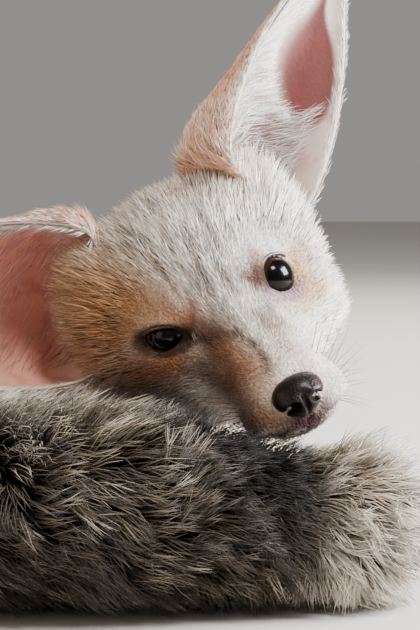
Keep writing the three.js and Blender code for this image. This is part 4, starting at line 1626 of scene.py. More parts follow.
def spines(roots: Roots, growth: Growth, seed: int) -> ndarray:
    """The middle lines of tufts.

    Args:
        roots: Where they grow.
        growth: How they grow.
        seed: For the random draws.

    Returns:
        For each tuft, its points from root to tip.
    """
    draw = np.random.default_rng(seed)
    count = len(roots.at)
    side = np.cross(roots.normal, growth.flow)
    heading = unit(growth.flow + side * draw.normal(0, growth.wander, (count, 1)))
    lift = np.radians(growth.lift) * draw.uniform(0.75, 1.3, count)
    curl = draw.normal(0, growth.wander * 1.5, (count, 1))
    step = (growth.length * draw.uniform(0.8, 1.2, count) / growth.segments)[:, None]
    at = roots.at - roots.normal * growth.sunk
    points = [at]
    for k in range(growth.segments):
        s = (k + 0.5) / growth.segments
        angle = (lift * (1.25 - growth.settle * s))[:, None]
        bent = unit(heading + side * curl * s)
        way = bent * np.cos(angle) + roots.normal * np.sin(angle)
        at = at + unit(way) * step
        points.append(at)
    line = np.stack(points, 1)
    if growth.clump > 1:
        group = np.arange(count) // growth.clump
        members = np.bincount(group)[:, None]
        tips = np.stack([np.bincount(group, line[:, -1, i]) for i in range(3)], 1) / members
        gap = tips[group] - line[:, -1]
        size = norm(gap, axis=1, keepdims=True)
        held = gap * np.minimum(1, 0.5 * growth.length[:, None] / np.maximum(size, 1e-6))
        s = np.linspace(0, 1, growth.segments + 1)[None, :, None]
        line = line + held[:, None] * (growth.pull * s**1.6)
    line[:, :, 2] = np.maximum(line[:, :, 2], FLOOR_CLEARANCE)
    return line


def tuft_mesh(line: ndarray, normal: ndarray, width: ndarray) -> Body:
    """Closed three-sided tufts along their middle lines.

    Args:
        line: Points of each tuft from root to tip.
        normal: The way out of the skin at each root.
        width: How wide each one is.

    Returns:
        Points and faces.
    """
    count, rings = line.shape[0], line.shape[1] - 1
    ahead = unit(line[:, 1:] - line[:, :-1])
    side = unit(np.cross(ahead, normal[:, None]))
    up = np.cross(side, ahead)
    s = np.arange(rings) / rings
    taper = (1 - s**1.7) * (0.72 + 0.9 * s * (1 - s)) / 0.85
    full = (width[:, None] * taper[None])[..., None]
    centre = line[:, :-1]
    ridge = centre + up * full * TUFT_HEIGHT
    corners = np.stack([centre + side * full / 2, ridge, centre - side * full / 2], 2)
    corners[..., 2] = np.maximum(corners[..., 2], FLOOR_CLEARANCE / 2)
    points = np.concatenate([corners.reshape(count, -1, 3), line[:, -1:]], 1)
    first = np.arange(count)[:, None] * (3 * rings + 1)
    quads, ends = [], [first + np.array([[0, 1, 2]])]
    for j in range(3):
        k = (j + 1) % 3
        for ring in range(rings - 1):
            a, b = 3 * ring, 3 * ring + 3
            quads.append(first + np.array([[a + j, b + j, b + k, a + k]]))
        last = 3 * (rings - 1)
        ends.append(first + np.array([[last + j, 3 * rings, last + k]]))
    return points.reshape(-1, 3), [np.vstack(ends), np.vstack(quads)]


@dataclass
class CoatPiece:
    """One piece of the coat, made from roots and the way that they grow."""

    name: str
    material: Material
    slot: str
    most_faces: int = 190000
    patch: float = 0.003
    shade_seed: int = 900
    width_seed: int = 500

    def build(
        self, roots: Roots, growth: Growth, looks: tuple[ndarray, ndarray], seed: int,
        clear: Callable | None = None,
    ) -> None:
        """Grows the tufts, as pieces that are each small enough to export.

        Args:
            roots: Where they grow.
            growth: How they grow.
            looks: The colour of each, and how strongly it is banded.
            seed: For the random draws.
            clear: Says which middle lines touch nothing that they shouldn't.
        """
        draw = np.random.default_rng(seed + self.shade_seed)
        line = spines(roots, growth, seed)
        keep = np.ones(len(line), bool) if clear is None else clear(line)
        group = np.arange(len(line)) // growth.clump
        shade = 0.45 * draw.random(len(line)) + 0.55 * draw.random(group[-1] + 1)[group]
        faces_each = 6 * growth.segments - 2
        parts = max(1, math.ceil(keep.sum() * faces_each / self.most_faces))
        for i, chosen in enumerate(np.array_split(np.flatnonzero(keep), parts)):
            draw = np.random.default_rng(seed + i + self.width_seed)
            width = growth.width[chosen] * draw.uniform(0.75, 1.25, len(chosen))
            points, faces = tuft_mesh(line[chosen], roots.normal[chosen], width)
            obj = new_object(self.name if parts == 1 else f"{self.name}_{i + 1}", points, faces)
            each = len(points) // len(chosen)
            along = np.append(np.repeat(np.arange(growth.segments) / growth.segments, 3), 1.0)
            across = np.append(np.tile([-1.0, 0.0, 1.0], growth.segments), 0.0)
            kept = dict(tint=looks[0], banded=looks[1], shade=shade)
            kept = {name: np.repeat(values[chosen], each, 0) for name, values in kept.items()}
            keep_values(obj, **kept, along=np.tile(along, len(chosen)))
            offset = np.stack([across * self.patch / 2, (along - 0.5) * self.patch], 1)
            uv = (roots.uv[chosen][:, None] + offset[None]).reshape(-1, 2)
            uv = uv[read(obj.data.loops, "vertex_index")].astype(np.float32)
            obj.data.uv_layers.new(name=UV_MAP).data.foreach_set("uv", uv.ravel())
            dress(obj, self.slot, self.material)


def off_the_face(line: ndarray) -> ndarray:
    """Finds the tufts that leave the eyes, the nose and the line of the mouth free.

    Args:
        line: Points of each tuft from root to tip.

    Returns:
        Which tufts to keep.
    """
    keep = np.ones(len(line), bool)
    for k in range(line.shape[1]):
        local = HEAD.to_local(line[:, k])
        for eye in EYES:
            seen = eye.to_eye(local)
            close = (seen[:, 2] > 2) & (norm(seen[:, :2], axis=1) < 11)
            rows = np.flatnonzero(close)
            if len(rows):
                keep[rows] &= eye.outside(seen[rows]) > 0.25
        keep &= np.sum(((local - Nose.centre) / (np.array(Nose.size) + 0.2)) ** 2, 1) > 1
        if k == 0:
            line_of_mouth = np.abs(local[:, 2] - through(HEAD.mouth, local[:, 1])) < 0.75
            keep &= ~(line_of_mouth & (local[:, 1] > 22))
    return keep


def near_ears(local: ndarray, *ears: EarShape) -> ndarray:
    """1 beside and behind the roots of the ears, where the hair is longer and covers them."""
    shares = []
    for ear in ears:
        away = local - ear.start
        close = ease(23, 13, norm(away, axis=1))
        shares.append(close * ease(4, -5, away @ ear.opens))
    return np.max(shares, axis=0)


def head_flow(roots: Roots, local: ndarray) -> ndarray:
    """The lie of the hair: away from the nose, back over the forehead and down the cheeks.

    Args:
        roots: Where the hair grows.
        local: Their places in the head's frame.

    Returns:
        The way that the hair lies, in the model's frame.
    """
    side = np.sign(local[:, :1])
    flow = unit(local - (0, 46.0, -12))
    cheek = (ease(6, -10, local[:, 1]) * ease(6, -10, local[:, 2]))[:, None]
    flow = flow + cheek * (side * [[0.25, 0, 0]] + [[0, -0.2, -0.65]])
    crown = (ease(2, -8, local[:, 1]) * ease(8, 16, local[:, 2]))[:, None]
    flow = flow + crown * [[0, -0.4, -0.1]]
    for ear in EARS:
        flow = flow + 0.8 * near_ears(local, ear)[:, None] * ear.axis
    for eye in EYES:
        seen = eye.to_eye(local)
        away = norm(seen[:, :2], axis=1)
        out = unit(seen * (1, 1, 0)) @ eye.axes.T
        strength = (ease(13, 6, away) * (seen[:, 2] > 0))[:, None]
        towards = np.minimum(dot(flow, out), 0)
        flow = flow - out * towards * strength + out * 0.35 * strength
    return flow_on(roots.normal @ HEAD.axes, flow) @ HEAD.axes.T


def in_head(points: ndarray) -> ndarray:
    """Finds the points that lie in the head.

    Args:
        points: Points in the model's frame.

    Returns:
        Which of them do.
    """
    local = HEAD.to_local(points)
    y = local[:, 1]
    middle = through(HEAD.widest, y)
    wide = HEAD.half_width * through(HEAD.width, y) - 1
    low = middle - through(HEAD.under, y) - 1
    rise = local[:, 2] - middle
    tall = np.where(rise < 0, low, through(HEAD.top, y) - middle)
    inside = (local[:, 0] / wide) ** 2 + (rise / tall) ** 2 < 1
    return inside & (y > HEAD.nape) & (y < HEAD.front + 3)


def below_head(at: ndarray) -> ndarray:
    """How far up the head is, that lies on the tail, or else more than any tuft reaches."""
    highest, out_of_reach = 14, 30.0
    gap = np.full(len(at), out_of_reach)
    for rise in range(highest, 0, -1):
        gap[in_head(at + (0, 0, rise))] = rise
    return gap


def clear_of_head(line: ndarray) -> ndarray:
    """Which tufts don't run into the head, which lies on the tail."""
    return ~np.any([in_head(line[:, k]) for k in range(1, line.shape[1])], axis=0)


@dataclass
class Coat:
    """The whole coat of the head, the body and the tail."""

    ground: Ground
    face_tufts: int = 38000
    head_tufts: int = 16000
    trunk_tufts: int = 14500
    limb_tufts: int = 3000
    tail_tufts: int = 36000
    quick_share: float = 0.35

    def build(self) -> None:
        """Grows every piece of the coat."""
        quick = 1.0
        cream, sand = CoatFinish("coat_cream").make(), CoatFinish("coat_sand").make()
        grizzled = CoatFinish("coat_grizzled", roughness=0.6, gloss=0.16, sheen=0.0).make()
        middle = self.ground.middle
        ahead = HEAD.to_local(middle)[:, 1]
        head, trunk, tail = (self.ground.part == kind.value for kind in Part)
        face = head * ease(-20, -8, ahead)
        thick = through(((-20, 0.55), (0, 0.9), (20, 1.5), (45, 2.2)), ahead)
        foot = followed(middle)[2]
        shown = 0.55 + 0.45 * ease(0.5, -0.7, self.ground.normals.mean(1)[:, 1]) + 2 * chin_shadow(middle)
        for grow, seed, name, finish, slot, tufts, density in (
            (self.face, 51, "face", cream, "coat_cream", self.face_tufts, face * thick),
            (self.back_of_head, 53, "head", cream, "coat_cream", self.head_tufts, head * (1 - face)),
            (self.trunk, 61, "trunk", sand, "coat_sand", self.trunk_tufts, trunk * (1 - foot)),
            (self.trunk, 62, "feet", cream, "coat_cream", self.limb_tufts, trunk * foot),
            (self.tail, 57, "tail", grizzled, "coat_grizzled", self.tail_tufts, tail * shown),
        ):
            roots = self.ground.scatter(int(tufts * quick), density, seed)
            grow(CoatPiece(f"coat_{name}", finish, slot), roots, seed)

    def face(self, piece: CoatPiece, roots: Roots, seed: int) -> None:
        """The short fur of the face, shortest round the eyes and the nose.

        Args:
            piece: What the hair becomes.
            roots: Where it grows.
            seed: For the random draws.
        """
        local = HEAD.to_local(roots.at)
        flow = head_flow(roots, local)
        x, y, z = local.T
        length = through(((-20, 9.5), (-6, 8), (6, 6), (16, 4.4), (30, 3.2), (45, 1.8)), y)
        length = length * (1 + 0.7 * ease(-10, -20, z) * ease(14, -4, y))
        for eye in EYES:
            gap = norm(eye.to_eye(local), axis=1)
            length = np.minimum(length, through(((7, 0.9), (9, 1.4), (12, 2.6), (18, 9)), gap))
        side_of_face = ease(15, 25, np.abs(x)) * ease(18, 8, y)
        by_ear = near_ears(local, EARS[1])
        length = length * (1 + 0.5 * side_of_face) + 3 * by_ear
        lift = 9 + 6 * ease(16, 0, y) + 12 * side_of_face + 12 * by_ear
        growth = Growth(flow, length, 0.1 + 0.034 * length, lift, 0.17, clump=4, pull=0.35, sunk=0.3)
        piece.build(roots, growth, markings(roots.at, roots.part), seed + 1, off_the_face)

    def back_of_head(self, piece: CoatPiece, roots: Roots, seed: int) -> None:
        """The longer fur of the crown and the ruff of the cheeks.

        Args:
            piece: What the hair becomes.
            roots: Where it grows.
            seed: For the random draws.
        """
        local = HEAD.to_local(roots.at)
        flow = head_flow(roots, local)
        cheek = ease(4, -12, local[:, 2]) * ease(6, 18, np.abs(local[:, 0]))
        nape = ease(-26, -38, local[:, 1])
        length = 10 + 8 * cheek + 6 * nape + 2.5 * near_ears(local, *EARS)
        lift = 16 + 14 * cheek + 8 * nape
        growth = Growth(flow, length, 0.22 + 0.018 * length, lift, 0.16, clump=5, pull=0.45, sunk=0.7)
        piece.build(roots, growth, markings(roots.at, roots.part), seed + 1, off_the_face)

    def trunk(self, piece: CoatPiece, roots: Roots, seed: int) -> None:
        """The fur of the neck, the trunk, the legs and the feet.

        Args:
            piece: What the hair becomes.
            roots: Where it grows.
            seed: For the random draws.
        """
        ahead, coat, _ = followed(roots.at)
        length = 2.2 * coat + 1.5
        flow = flow_on(roots.normal, ahead)
        growth = Growth(flow, length, 0.28 + 0.055 * length, 20, 0.16, clump=6, pull=0.6, sunk=0.8)
        piece.build(roots, growth, markings(roots.at, roots.part), seed + 10)

    def tail(self, piece: CoatPiece, roots: Roots, seed: int) -> None:
        """The long banded hair of the tail.

        Args:
            piece: What the hair becomes.
            roots: Where it grows.
            seed: For the random draws.
        """
        count = len(roots.at)
        u, _ = TAIL.line.nearest(roots.at)
        flow = TAIL.line.read(TAIL.line.ahead, u) + (0, 0, -0.5)
        flow = flow_on(roots.normal, flow)
        swirl = (1.1 * ripple(roots.at, 20, 7) + 0.8 * ripple(roots.at, 8, 17))[:, None]
        flow = flow * np.cos(swirl) + np.cross(roots.normal, flow) * np.sin(swirl)
        reach = TAIL.reach(u) * (1 - TAIL.core_share)
        to_tip = (0.985 - u) * TAIL.line.length + 5
        longest = np.maximum(reach / 0.72 + 1, 7)
        longest = np.minimum(longest, np.maximum(1.1 * below_head(roots.at), 3.5))
        length = np.minimum(longest, np.maximum(to_tip, 5.5))
        growth = Growth(flow, length, 0.47, 60, 0.36, 3, settle=0.98, clump=9, pull=0.76, sunk=1.0)
        tone = np.random.default_rng(seed + 2).random(count // growth.clump + 1)
        tone = tone[np.arange(count) // growth.clump]
        paint = Paint("tail_dark", count)
        paint.colour, banded = markings(roots.at, roots.part)
        # Fewer dark clumps where light is painted on the end of the tail.
        paint.lay("tail_dark", 0.85 * ease(0.4, 0.7, tone) * (1 - 0.55 * frosted_and_lit(roots.at)))
        # No pale clumps in the painted shadow under the chin.
        paint.lay("cream", 0.2 * ease(0.2, 0.05, tone) * (1 - chin_shadow(roots.at)))
        piece.build(roots, growth, (paint.colour, banded), seed + 1, clear_of_head)


# Eyes, nose, ears, whiskers and claws


def on_head(name: str, local: ndarray, faces: list[ndarray]) -> Object:
    """Makes an object from points in the head's frame."""
    world = HEAD.to_world(local)
    return new_object(name, world, facing_out(world, faces))


class Eyeballs:
    """The two eyes and the wet edges of their lids."""

    def build(self) -> None:
        """Builds the eyes and their lid margins."""
        eye_finish, margin_finish = EyeFinish().make(), MarginFinish().make()
        for eye in EYES:
            self.ball(eye, eye_finish)
            self.margin(eye, margin_finish)

    def ball(self, eye: EyeShape, material: Material) -> None:
        """An eyeball with its cornea.

        Args:
            eye: The eye.
            material: Its finish.
        """
        cornea = math.asin(eye.half_height * 0.9 / eye.radius)

        def place(t: ndarray, angle: ndarray) -> ndarray:
            """Where the point at t and angle is."""
            off = np.pi * t
            size = eye.radius + eye.cornea_rise * np.maximum(0, 1 - (off / cornea) ** 2)
            ring = size * np.sin(off)
            return np.stack([ring * np.cos(angle), ring * np.sin(angle), size * np.cos(off)], -1)

        points, faces = closed_skin(64, 72, place)
        obj = on_head(f"eyeball_{eye.side.word}", eye.to_head(points), faces)
        off_gaze = np.arccos(np.clip(unit(points)[:, 2], -1, 1))
        keep_values(obj, off_gaze=off_gaze, spin=np.arctan2(points[:, 1], points[:, 0]))
        dress(obj, "eye", material, f"eye_{eye.side.word}")

    def margin(self, eye: EyeShape, material: Material) -> None:
        """The edge of the lids, as a thin rounded ring on the eyeball.

        Args:
            eye: The eye.
            material: Its finish.
        """
        count, sides, thick = 110, 10, 0.34
        edge = eye.outline(count)
        sphere = eye.radius + 0.75
        height = np.sqrt(np.maximum(sphere**2 - np.sum(edge**2, 1), 0.2))
        centre = np.column_stack([edge, height])
        centre += (np.roll(centre, 1, 0) + np.roll(centre, -1, 0) - 2 * centre) * 0.3
        ahead = unit(np.roll(centre, -1, 0) - np.roll(centre, 1, 0))
        out = unit(centre)
        across = np.cross(ahead, out)
        angle = 2 * np.pi * np.arange(sides) / sides
        ring = (
            centre[:, None]
            + across[:, None] * (thick * 1.35 * np.cos(angle))[None, :, None]
            + out[:, None] * (thick * np.sin(angle))[None, :, None]
        )
        i, j = np.arange(count)[:, None], np.arange(sides)[None]
        here, on = i * sides, (i + 1) % count * sides
        j_next = (j + 1) % sides
        faces = np.stack([here + j, on + j, on + j_next, here + j_next], -1).reshape(-1, 4)
        points = ring.reshape(-1, 3)
        obj = on_head(f"lid_margin_{eye.side.word}", eye.to_head(points), [faces])
        left = eye.side is Side.LEFT
        below = ease(1, 4, 0.5 * points[:, 0] * left - 0.8 * points[:, 1])
        keep_values(obj, pale=below * (0.75 if left else 0.12))
        dress(obj, "eye", material)


@dataclass
class Nose:
    """The nose leather, with a comma nostril on each side."""

    size: Triple = (5.9, 4.8, 5)
    centre: Triple = (0, 43.5, -16)

    def build(self) -> None:
        """Builds the nose."""

        def place(t: ndarray, angle: ndarray) -> ndarray:
            """Where the point at t and angle is."""
            off = np.pi * t
            x, z, y = np.sin(off) * np.cos(angle), np.sin(off) * np.sin(angle), np.cos(off)
            groove = 0.16 * np.exp(-((x / 0.1) ** 2)) * np.maximum(0, y) * ease(0.55, 0.1, z)
            ahead = self.size[1] * (y - groove) - 0.9 * np.maximum(0, -z)
            wide = self.size[0] * x * (1 + 0.22 * z)
            return self.centre + np.stack([wide, ahead, self.size[2] * z], -1)

        points, faces = closed_skin(120, 150, place)
        offset = points - self.centre
        front = offset[:, 1] > 0
        flat = np.column_stack([np.abs(offset[:, 0]), 0 * offset[:, 1], offset[:, 2]])
        hole = near_stroke(flat, (2.5, 0, -0.5), (3.1, 0, -0.9), 1.25)
        slit = near_stroke(flat, (3.1, 0, -0.9), (5.2, 0, -2.0), 0.75)
        # The nostrils: pushed in, and kept as hollow to be painted darker as shade.
        hollow = np.clip(np.maximum(ease(0.25, 0.85, hole), 0.8 * ease(0.2, 0.8, slit)), 0, 1) * front
        wing = 0.45 * near_stroke(flat, (2.4, 0, 1.1), (4.6, 0, 0.4), 1.1) * front
        points = points + unit(offset) * wing[:, None] - np.array([0, 3.2, 0]) * hollow[:, None]
        obj = on_head("nose_leather", points, faces)
        # Painted light: a dark red glow on the nose's left wing, kept as wing.
        lit_wing = ease(-3.4, -5.8, points[:, 0] - self.centre[0])
        keep_values(obj, hollow=hollow, wing=0.85 * lit_wing * (1 - hollow))
        dress(obj, "nose_leather", NoseFinish().make(), "nose")


@dataclass
class Ears:
    """The ears' thin cups and the hair on them."""

    back_tufts: int = 4600
    rim_tufts: int = 4600
    edge_tufts: int = 1500
    base_tufts: int = 1300
    inner_tufts: int = 600
    rings: int = 130
    sides: int = 120
    quick_share: float = 0.4
    banded: float = 0.05

    def build(self) -> None:
        """Builds both ears and their hair."""
        # One ear skin painted for two lights: the left ear's inside darker, as painted shade, and the
        # right ear's paler, as painted light.
        skins = (
            EarFinish("ear_skin_right", "eba996", "bb7868"),
            EarFinish("ear_skin_left", "784843", "5f312e"),
        )
        coat = CoatFinish("coat_ear", sheen=0.35).make()
        for ear, skin in zip(EARS, skins):
            self.cup(ear, skin.make())
            self.hair(ear, coat)

    def cup(self, ear: EarShape, material: Material) -> None:
        """One ear as a thin cup.

        Args:
            ear: The ear.
            material: Its finish.
        """

        def round_cup(t: ndarray, angle: ndarray) -> ndarray:
            """How far up and across a point is, and whether it is on the back."""
            back = angle < np.pi
            share = np.where(back, 2 * angle / np.pi - 1, 3 - 2 * angle / np.pi)
            return np.stack([crowded(t), share, back], -1)

        def place(t: ndarray, angle: ndarray) -> ndarray:
            """Where the point at t and angle is."""
            u, share, back = round_cup(t, angle).T
            half = ear.thickness / 2 * (1 - 0.4 * u) * np.sqrt(np.maximum(0, 1 - share**4))
            ridge = 0.5 * np.sin(7 * share + 1) * ease(0.55, 0.1, u) * (1 - back)
            return ear.point(u, share, half * (2 * back - 1) - ridge)

        points, faces = closed_skin(self.rings, self.sides, place)
        u, share, back = closed_skin(self.rings, self.sides, round_cup)[0].T
        obj = on_head(f"ear_skin_{ear.side.word}", points, faces)
        # On the half-furred right ear the red-brown strip is weakened, as painted light on that ear's
        # inside.
        strip = np.exp(-(((share - 0.36) / 0.22) ** 2)) * ease(1, 0.6, u)
        strip = strip * (1 - back) * (0.35 + 0.65 * ear.furred)
        rim = np.where(share < 0, ease(0.72, 0.93, -share), ease(0.86, 0.96, share))
        reddened = 0.85 * ease(0.46, 0.36, u) * np.exp(-(((share - 0.3) / 0.42) ** 2))
        white = 0.88 * (1 - ear.bare(u, share)) * (1 - back) * (1 - reddened)
        at_root = 0.6 * ease(0.24, 0.1, u) * np.where(back, ease(0.3, 0.8, np.abs(share)), 1)
        rim = np.max([rim * (1 - 0.5 * back), white, at_root], axis=0)
        keep_values(obj, strip=strip, rim=rim, back=back)
        dress(obj, "ear_skin", material, f"ear_{ear.side.word}")

    def roots(self, ear: EarShape, u: ndarray, share: ndarray, face: float) -> tuple[Roots, ndarray]:
        """Roots on an ear, with the way to its tip.

        Args:
            ear: The ear.
            u: Places along it.
            share: Places across it.
            face: 1 for its back and -1 for its inside.

        Returns:
            The roots in the model's frame, and the way to the tip at each.
        """
        step = 0.004
        depth = np.full(len(u), face * ear.thickness * 0.4)
        at = ear.point(u, share, depth)
        along = ear.point(np.minimum(u + step, 0.999), share, depth) - at
        across = ear.point(u, share + step, depth) - at
        normal = unit(np.cross(along, across))
        outside = ear.point(u, share, depth + face * 0.2) - at
        normal *= np.sign(dot(normal, outside))
        half_u = 0.5 * share + 0.5
        uv = np.stack([0.02 + 0.46 * half_u + (0.5 if face > 0 else 0), 0.02 + 0.96 * u], 1)
        part = np.zeros(len(u), int)
        return Roots(HEAD.to_world(at), normal @ HEAD.axes.T, uv, part), unit(along) @ HEAD.axes.T

    def hair(self, ear: EarShape, material: Material) -> None:
        """The short fur of the back, the white fringe of the margins and the fine inner hair.

        Args:
            ear: The ear.
            material: Its finish.
        """
        draw = np.random.default_rng(70 + ear.side.value)
        quick = 1.0
        inward = (ear.across @ HEAD.axes.T)[None]

        def grow(
            name: str, seed: int, u: ndarray, share: ndarray, face: float, paint: Paint,
            across: object = 0.0, along: float = 1.0, slot: str = "coat_cream", **measures: object,
        ) -> None:
            """Grows one kind of hair, which lies along the ear and across it by shares."""
            roots, ahead = self.roots(ear, u, share, face)
            flow = ahead * along + inward * np.reshape(across, (-1, 1))
            growth = Growth(flow_on(roots.normal, flow), **measures)
            piece = CoatPiece(f"coat_ear_{name}_{ear.side.word}", material, slot)
            piece.build(roots, growth, (paint.colour, np.full(len(u), self.banded)), seed)

        count = int(self.back_tufts * quick)
        u, share = draw.uniform(0.0, 1.0, count) ** 1.35 * 0.985, draw.uniform(-0.98, 0.98, count)
        at_root = ease(0.3, 0.06, u)
        paint = Paint("sand", count).lay("peach", 0.95 * ease(0.3, -0.2, share) * ease(0.75, 0.5, u))
        paint.lay("white", 0.03 + 0.4 * ease(0.86, 0.97, np.abs(share)))
        grow(
            "back", 71, u, share, 1.0, paint, slot="ear_skin",
            length=3.6 + 1.6 * at_root, width=0.3 + 0.08 * at_root, lift=8 + 6 * at_root, wander=0.22,
        )

        count = int(self.rim_tufts * quick * (0.3 + 0.8 * ear.furred))
        inner = draw.random(count) < 0.93
        u = draw.uniform(0.02, 0.96, count)
        bound = through(ear.leaf_start, u) - 0.06
        reach = np.where(u < 0.36, 0.1, bound) if ear.furred > 0.5 else -0.6
        share = -0.98 + draw.random(count) * (reach + 0.98)
        share = np.where(inner, share, 0.9 + 0.08 * draw.random(count))
        room = np.where(inner & (u > 0.36), 2.4 + 20 * (bound - share), 9.0)
        longest = np.where(inner, 2 + 7 * ear.furred, 2.0) * ease(1.15, 0.45, u) + 2
        grow(
            "fringe", 73, u, share, -1.0, Paint("white", count),
            across=np.where(inner, 1, -1) * (0.5 + 0.7 * ease(0.6, 0.2, u)),
            length=np.minimum(longest, room), width=0.2, lift=9, wander=0.15, sunk=0.3,
        )

        count = int(self.edge_tufts * quick)
        margin = draw.choice([-1.0, 1.0], count)
        u = draw.uniform(0.02, 0.985, count)
        share = margin * draw.uniform(0.93, 0.995, count)
        grow(
            "edge", 77, u, share, 1.0, Paint("white", count),
            across=0.5 * margin, length=2.4, width=0.24, lift=6, wander=0.2,
        )

        count = int(self.base_tufts * quick)
        u = draw.uniform(0.0, 0.2, count)
        inner = draw.random(count) < 0.6
        share = np.where(inner, draw.uniform(-0.99, -0.5, count), draw.uniform(0.5, 0.99, count))
        paint = Paint("peach", count).lay("white", 0.15 + 0.55 * draw.random(count))
        grow(
            "base", 79, u, share, 1.0, paint, length=np.where(inner, 5.6, 5.0), width=0.34,
            lift=np.where(inner, 17, 10), wander=0.25, clump=4, pull=0.4, sunk=0.3,
        )

        count = int(self.inner_tufts * quick)
        open_ear = ear.furred < 0.5
        u = draw.uniform(0.05, 0.6 if open_ear else 0.42, count)
        share = draw.uniform(-0.6, 0.5, count) if open_ear else draw.uniform(-0.1, 0.6, count)
        order = np.lexsort((share, np.floor(u * 14)))
        u, share = u[order], share[order]
        paint = Paint("white", count).lay("rufous", 0.8 * ease(-0.1, 0.3, share) * open_ear)
        grow(
            "inside", 75, u, share, -1.0, paint, across=0.8, along=0.6,
            length=9.0, width=0.12, lift=10, wander=0.2, clump=5, pull=0.6,
        )


@dataclass
class Whiskers:
    """Fine stiff hairs in rows on the whisker pads."""

    rows: int = 4
    in_row: int = 5
    length: float = 30
    width: float = 0.24
    lowest_row: float = -34
    between_rows: float = 15
    foremost: float = 37
    shown_right: float = 0.4

    def build(self) -> None:
        """Builds the whiskers of both sides."""
        draw = np.random.default_rng(81)
        made = []
        for side in Side:
            shown = 1.0 if side is Side.LEFT else self.shown_right
            for row in range(self.rows):
                bearing = math.radians(self.lowest_row + self.between_rows * row)
                angle = bearing if side is Side.RIGHT else math.pi - bearing
                for i in range(self.in_row):
                    y = self.foremost - 3.2 * i - 0.8 * row
                    at, out = HEAD.surface(np.array([y]), np.array([angle]), np.ones(1))
                    size = self.length * (0.5 + 0.13 * i) * draw.uniform(0.8, 1.1) * shown
                    way = out[0] * 0.75 + np.array([0, -0.55 - 0.1 * i, 0.16 * row - 0.3])
                    made.append(self.hair(at[0] - out[0] * 1.5, unit(way), size, draw))
        points, faces = joined([body for body, _ in made])
        world = HEAD.to_world(points)
        world[:, 2] = np.maximum(world[:, 2], FLOOR_CLEARANCE)
        obj = new_object("whiskers", world, faces)
        plain = np.ones(len(world))
        tint = Paint("umber", len(world)).colour
        along = np.concatenate([share for _, share in made])
        keep_values(obj, along=along, tint=tint, shade=0.6 * plain, banded=0 * plain)
        dress(obj, "coat_cream", CoatFinish("whisker_hair", roughness=0.35, gloss=0.5).make())

    def hair(
        self, at: ndarray, way: ndarray, size: float, draw: np.random.Generator
    ) -> tuple[Body, ndarray]:
        """One whisker as a closed tapered hair.

        Args:
            at: Its root.
            way: Its direction there.
            size: Its length.
            draw: For its own bend.

        Returns:
            The hair, and how far along it each point is.
        """
        bend = np.array([0, -0.5, -0.35]) * draw.uniform(0.5, 1.2)

        def spine(t: ndarray) -> tuple[ndarray, ...]:
            """Its middle, two ways across and its thickness at t."""
            s = t[:, None]
            middle = at + way * size * s + bend * size * 0.5 * s**2
            ahead = unit(way + bend * s)
            side = unit(np.cross(ahead, (0, 0, 1)))
            thick = self.width / 2 * np.minimum(1, t * 20) * (1 - t) ** 0.8
            return middle, side, np.cross(side, ahead), thick

        return spike(14, 5, spine)


@dataclass
class Claws:
    """Four curved claws at the end of each foot."""

    span: float = 19
    length: float = 7.5
    width: float = 0.75
    height: float = 6.2

    def build(self) -> None:
        """Builds the claws of all four feet."""
        feet = [guide.line for guide in GUIDES if "foot" in guide.name or "paw" in guide.name]
        made = [self.claw(line, toe) for line in feet for toe in (-1.5, -0.5, 0.5, 1.5)]
        obj = new_object("claws", *joined([body for body, _ in made]))
        keep_values(obj, along=np.concatenate([share for _, share in made]))
        dress(obj, "nose_leather", HornFinish().make())

    def claw(self, line: Line, toe: float) -> tuple[Body, ndarray]:
        """One claw.

        Args:
            line: The foot's line.
            toe: Which toe it is on, from the foot's middle.

        Returns:
            The claw, and how far along it each point is.
        """
        ahead = unit(line.ahead[-1] * (1, 1, 0))
        side = np.cross(ahead, (0, 0, 1))
        middle_toe = 3.5 if abs(toe) < 1 else 0
        start = line.points[-1] * (1, 1, 0) + side * toe * self.span / 4 + ahead * (middle_toe - 0.5)

        def spine(t: ndarray) -> tuple[ndarray, ...]:
            """Its middle, two ways across and its thickness at t."""
            fall = np.stack([0 * t, 0 * t, self.height - 5.2 * t**1.8], -1)
            middle = start + ahead * self.length * t[:, None] + fall
            thick = self.width * np.minimum(1, t * 6) * (1 - t) ** 0.7
            return middle, side, np.array([0, 0, 1.25]), thick

        return spike(12, 10, spine)


# The studio


def aimed(data: bpy.types.ID, at: Vector, way: Vector) -> Object:
    """Sets up a lamp or a camera.

    Args:
        data: What it is.
        at: Where it stands, in metres.
        way: The way it looks.

    Returns:
        The object.
    """
    obj = bpy.data.objects.new(data.name, data)
    obj.location = at
    obj.rotation_euler = way.to_track_quat("-Z", "Y").to_euler()
    bpy.context.scene.collection.objects.link(obj)
    return obj


@dataclass(frozen=True)
class Lamp:
    """A soft square light."""

    name: str
    at: Triple
    towards: Triple
    size: float
    power: float
    colour: str = "ffffff"

    def build(self) -> None:
        """Sets up the light."""
        data = bpy.data.lights.new(self.name, "AREA")
        data.shape = "SQUARE"
        data.size = self.size
        data.energy = self.power
        data.color = linear(self.colour)
        aimed(data, Vector(self.at), Vector(self.towards) - Vector(self.at))


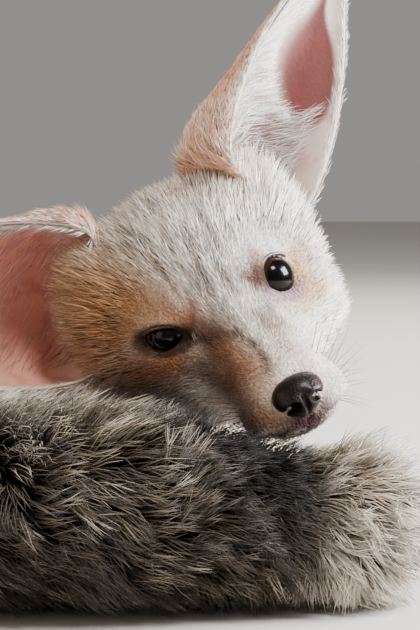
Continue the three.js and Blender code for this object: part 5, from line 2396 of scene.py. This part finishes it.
@dataclass
class Studio:
    """A pale floor, soft light and the camera at the photograph's angle."""

    target: Triple = (0.01525, -0.088, 0.0615)
    distance: float = 0.35
    elevation: float = math.radians(5)
    half_view: float = 0.07875
    floor_half: float = 4000
    backdrop: str = "d9d6d2"
    backdrop_strength: float = 0.44
    sensor: float = 36
    lamps: tuple[Lamp, ...] = (
        Lamp("window", (0.78, -0.16, 0.5), (0.02, -0.08, 0.06), 0.4, 35.0, "f8f9ff"),
        Lamp("warm_fill", (-0.8, -0.5, 0.25), (0.0, -0.09, 0.05), 0.7, 3.0, "ffddb8"),
        Lamp("top", (0.24, -0.62, 0.95), (0.0, -0.09, 0.05), 0.22, 9.0, "fffaf4"),
        Lamp("back_rim", (0.1, 0.6, 0.7), (0.0, -0.05, 0.1), 0.6, 8.0, "fff1e0"),
    )

    def build(self) -> None:
        """Builds the floor, the lights and the camera."""
        corners = np.array([[-1, -1], [1, -1], [1, 1], [-1, 1]]) * self.floor_half
        floor = new_object("floor", np.column_stack([corners, np.zeros(4)]), [np.array([[0, 1, 2, 3]])])
        floor.data.materials.append(FloorFinish().make())
        for lamp in self.lamps:
            lamp.build()
        world = bpy.data.worlds.new("studio")
        world.use_nodes = True
        background = world.node_tree.nodes["Background"]
        background.inputs["Color"].default_value = (*linear(self.backdrop), 1)
        background.inputs["Strength"].default_value = self.backdrop_strength
        bpy.context.scene.world = world
        self.camera()

    def camera(self) -> None:
        """Sets up the camera."""
        data = bpy.data.cameras.new("camera")
        data.sensor_width = self.sensor
        data.lens = self.sensor / 2 / (self.half_view / self.distance)
        back = Vector((0, -math.cos(self.elevation), math.sin(self.elevation)))
        bpy.context.scene.camera = aimed(data, Vector(self.target) + back * self.distance, -back)


def main() -> None:
    """Builds the fox and the studio."""
    logging.basicConfig(level=logging.INFO, format="%(message)s", stream=sys.stdout)
    Studio().build()
    skin = Skin().build()
    Eyeballs().build()
    Nose().build()
    Ears().build()
    Whiskers().build()
    Claws().build()
    Coat(Ground(skin)).build()


if __name__ == "__main__":
    main()
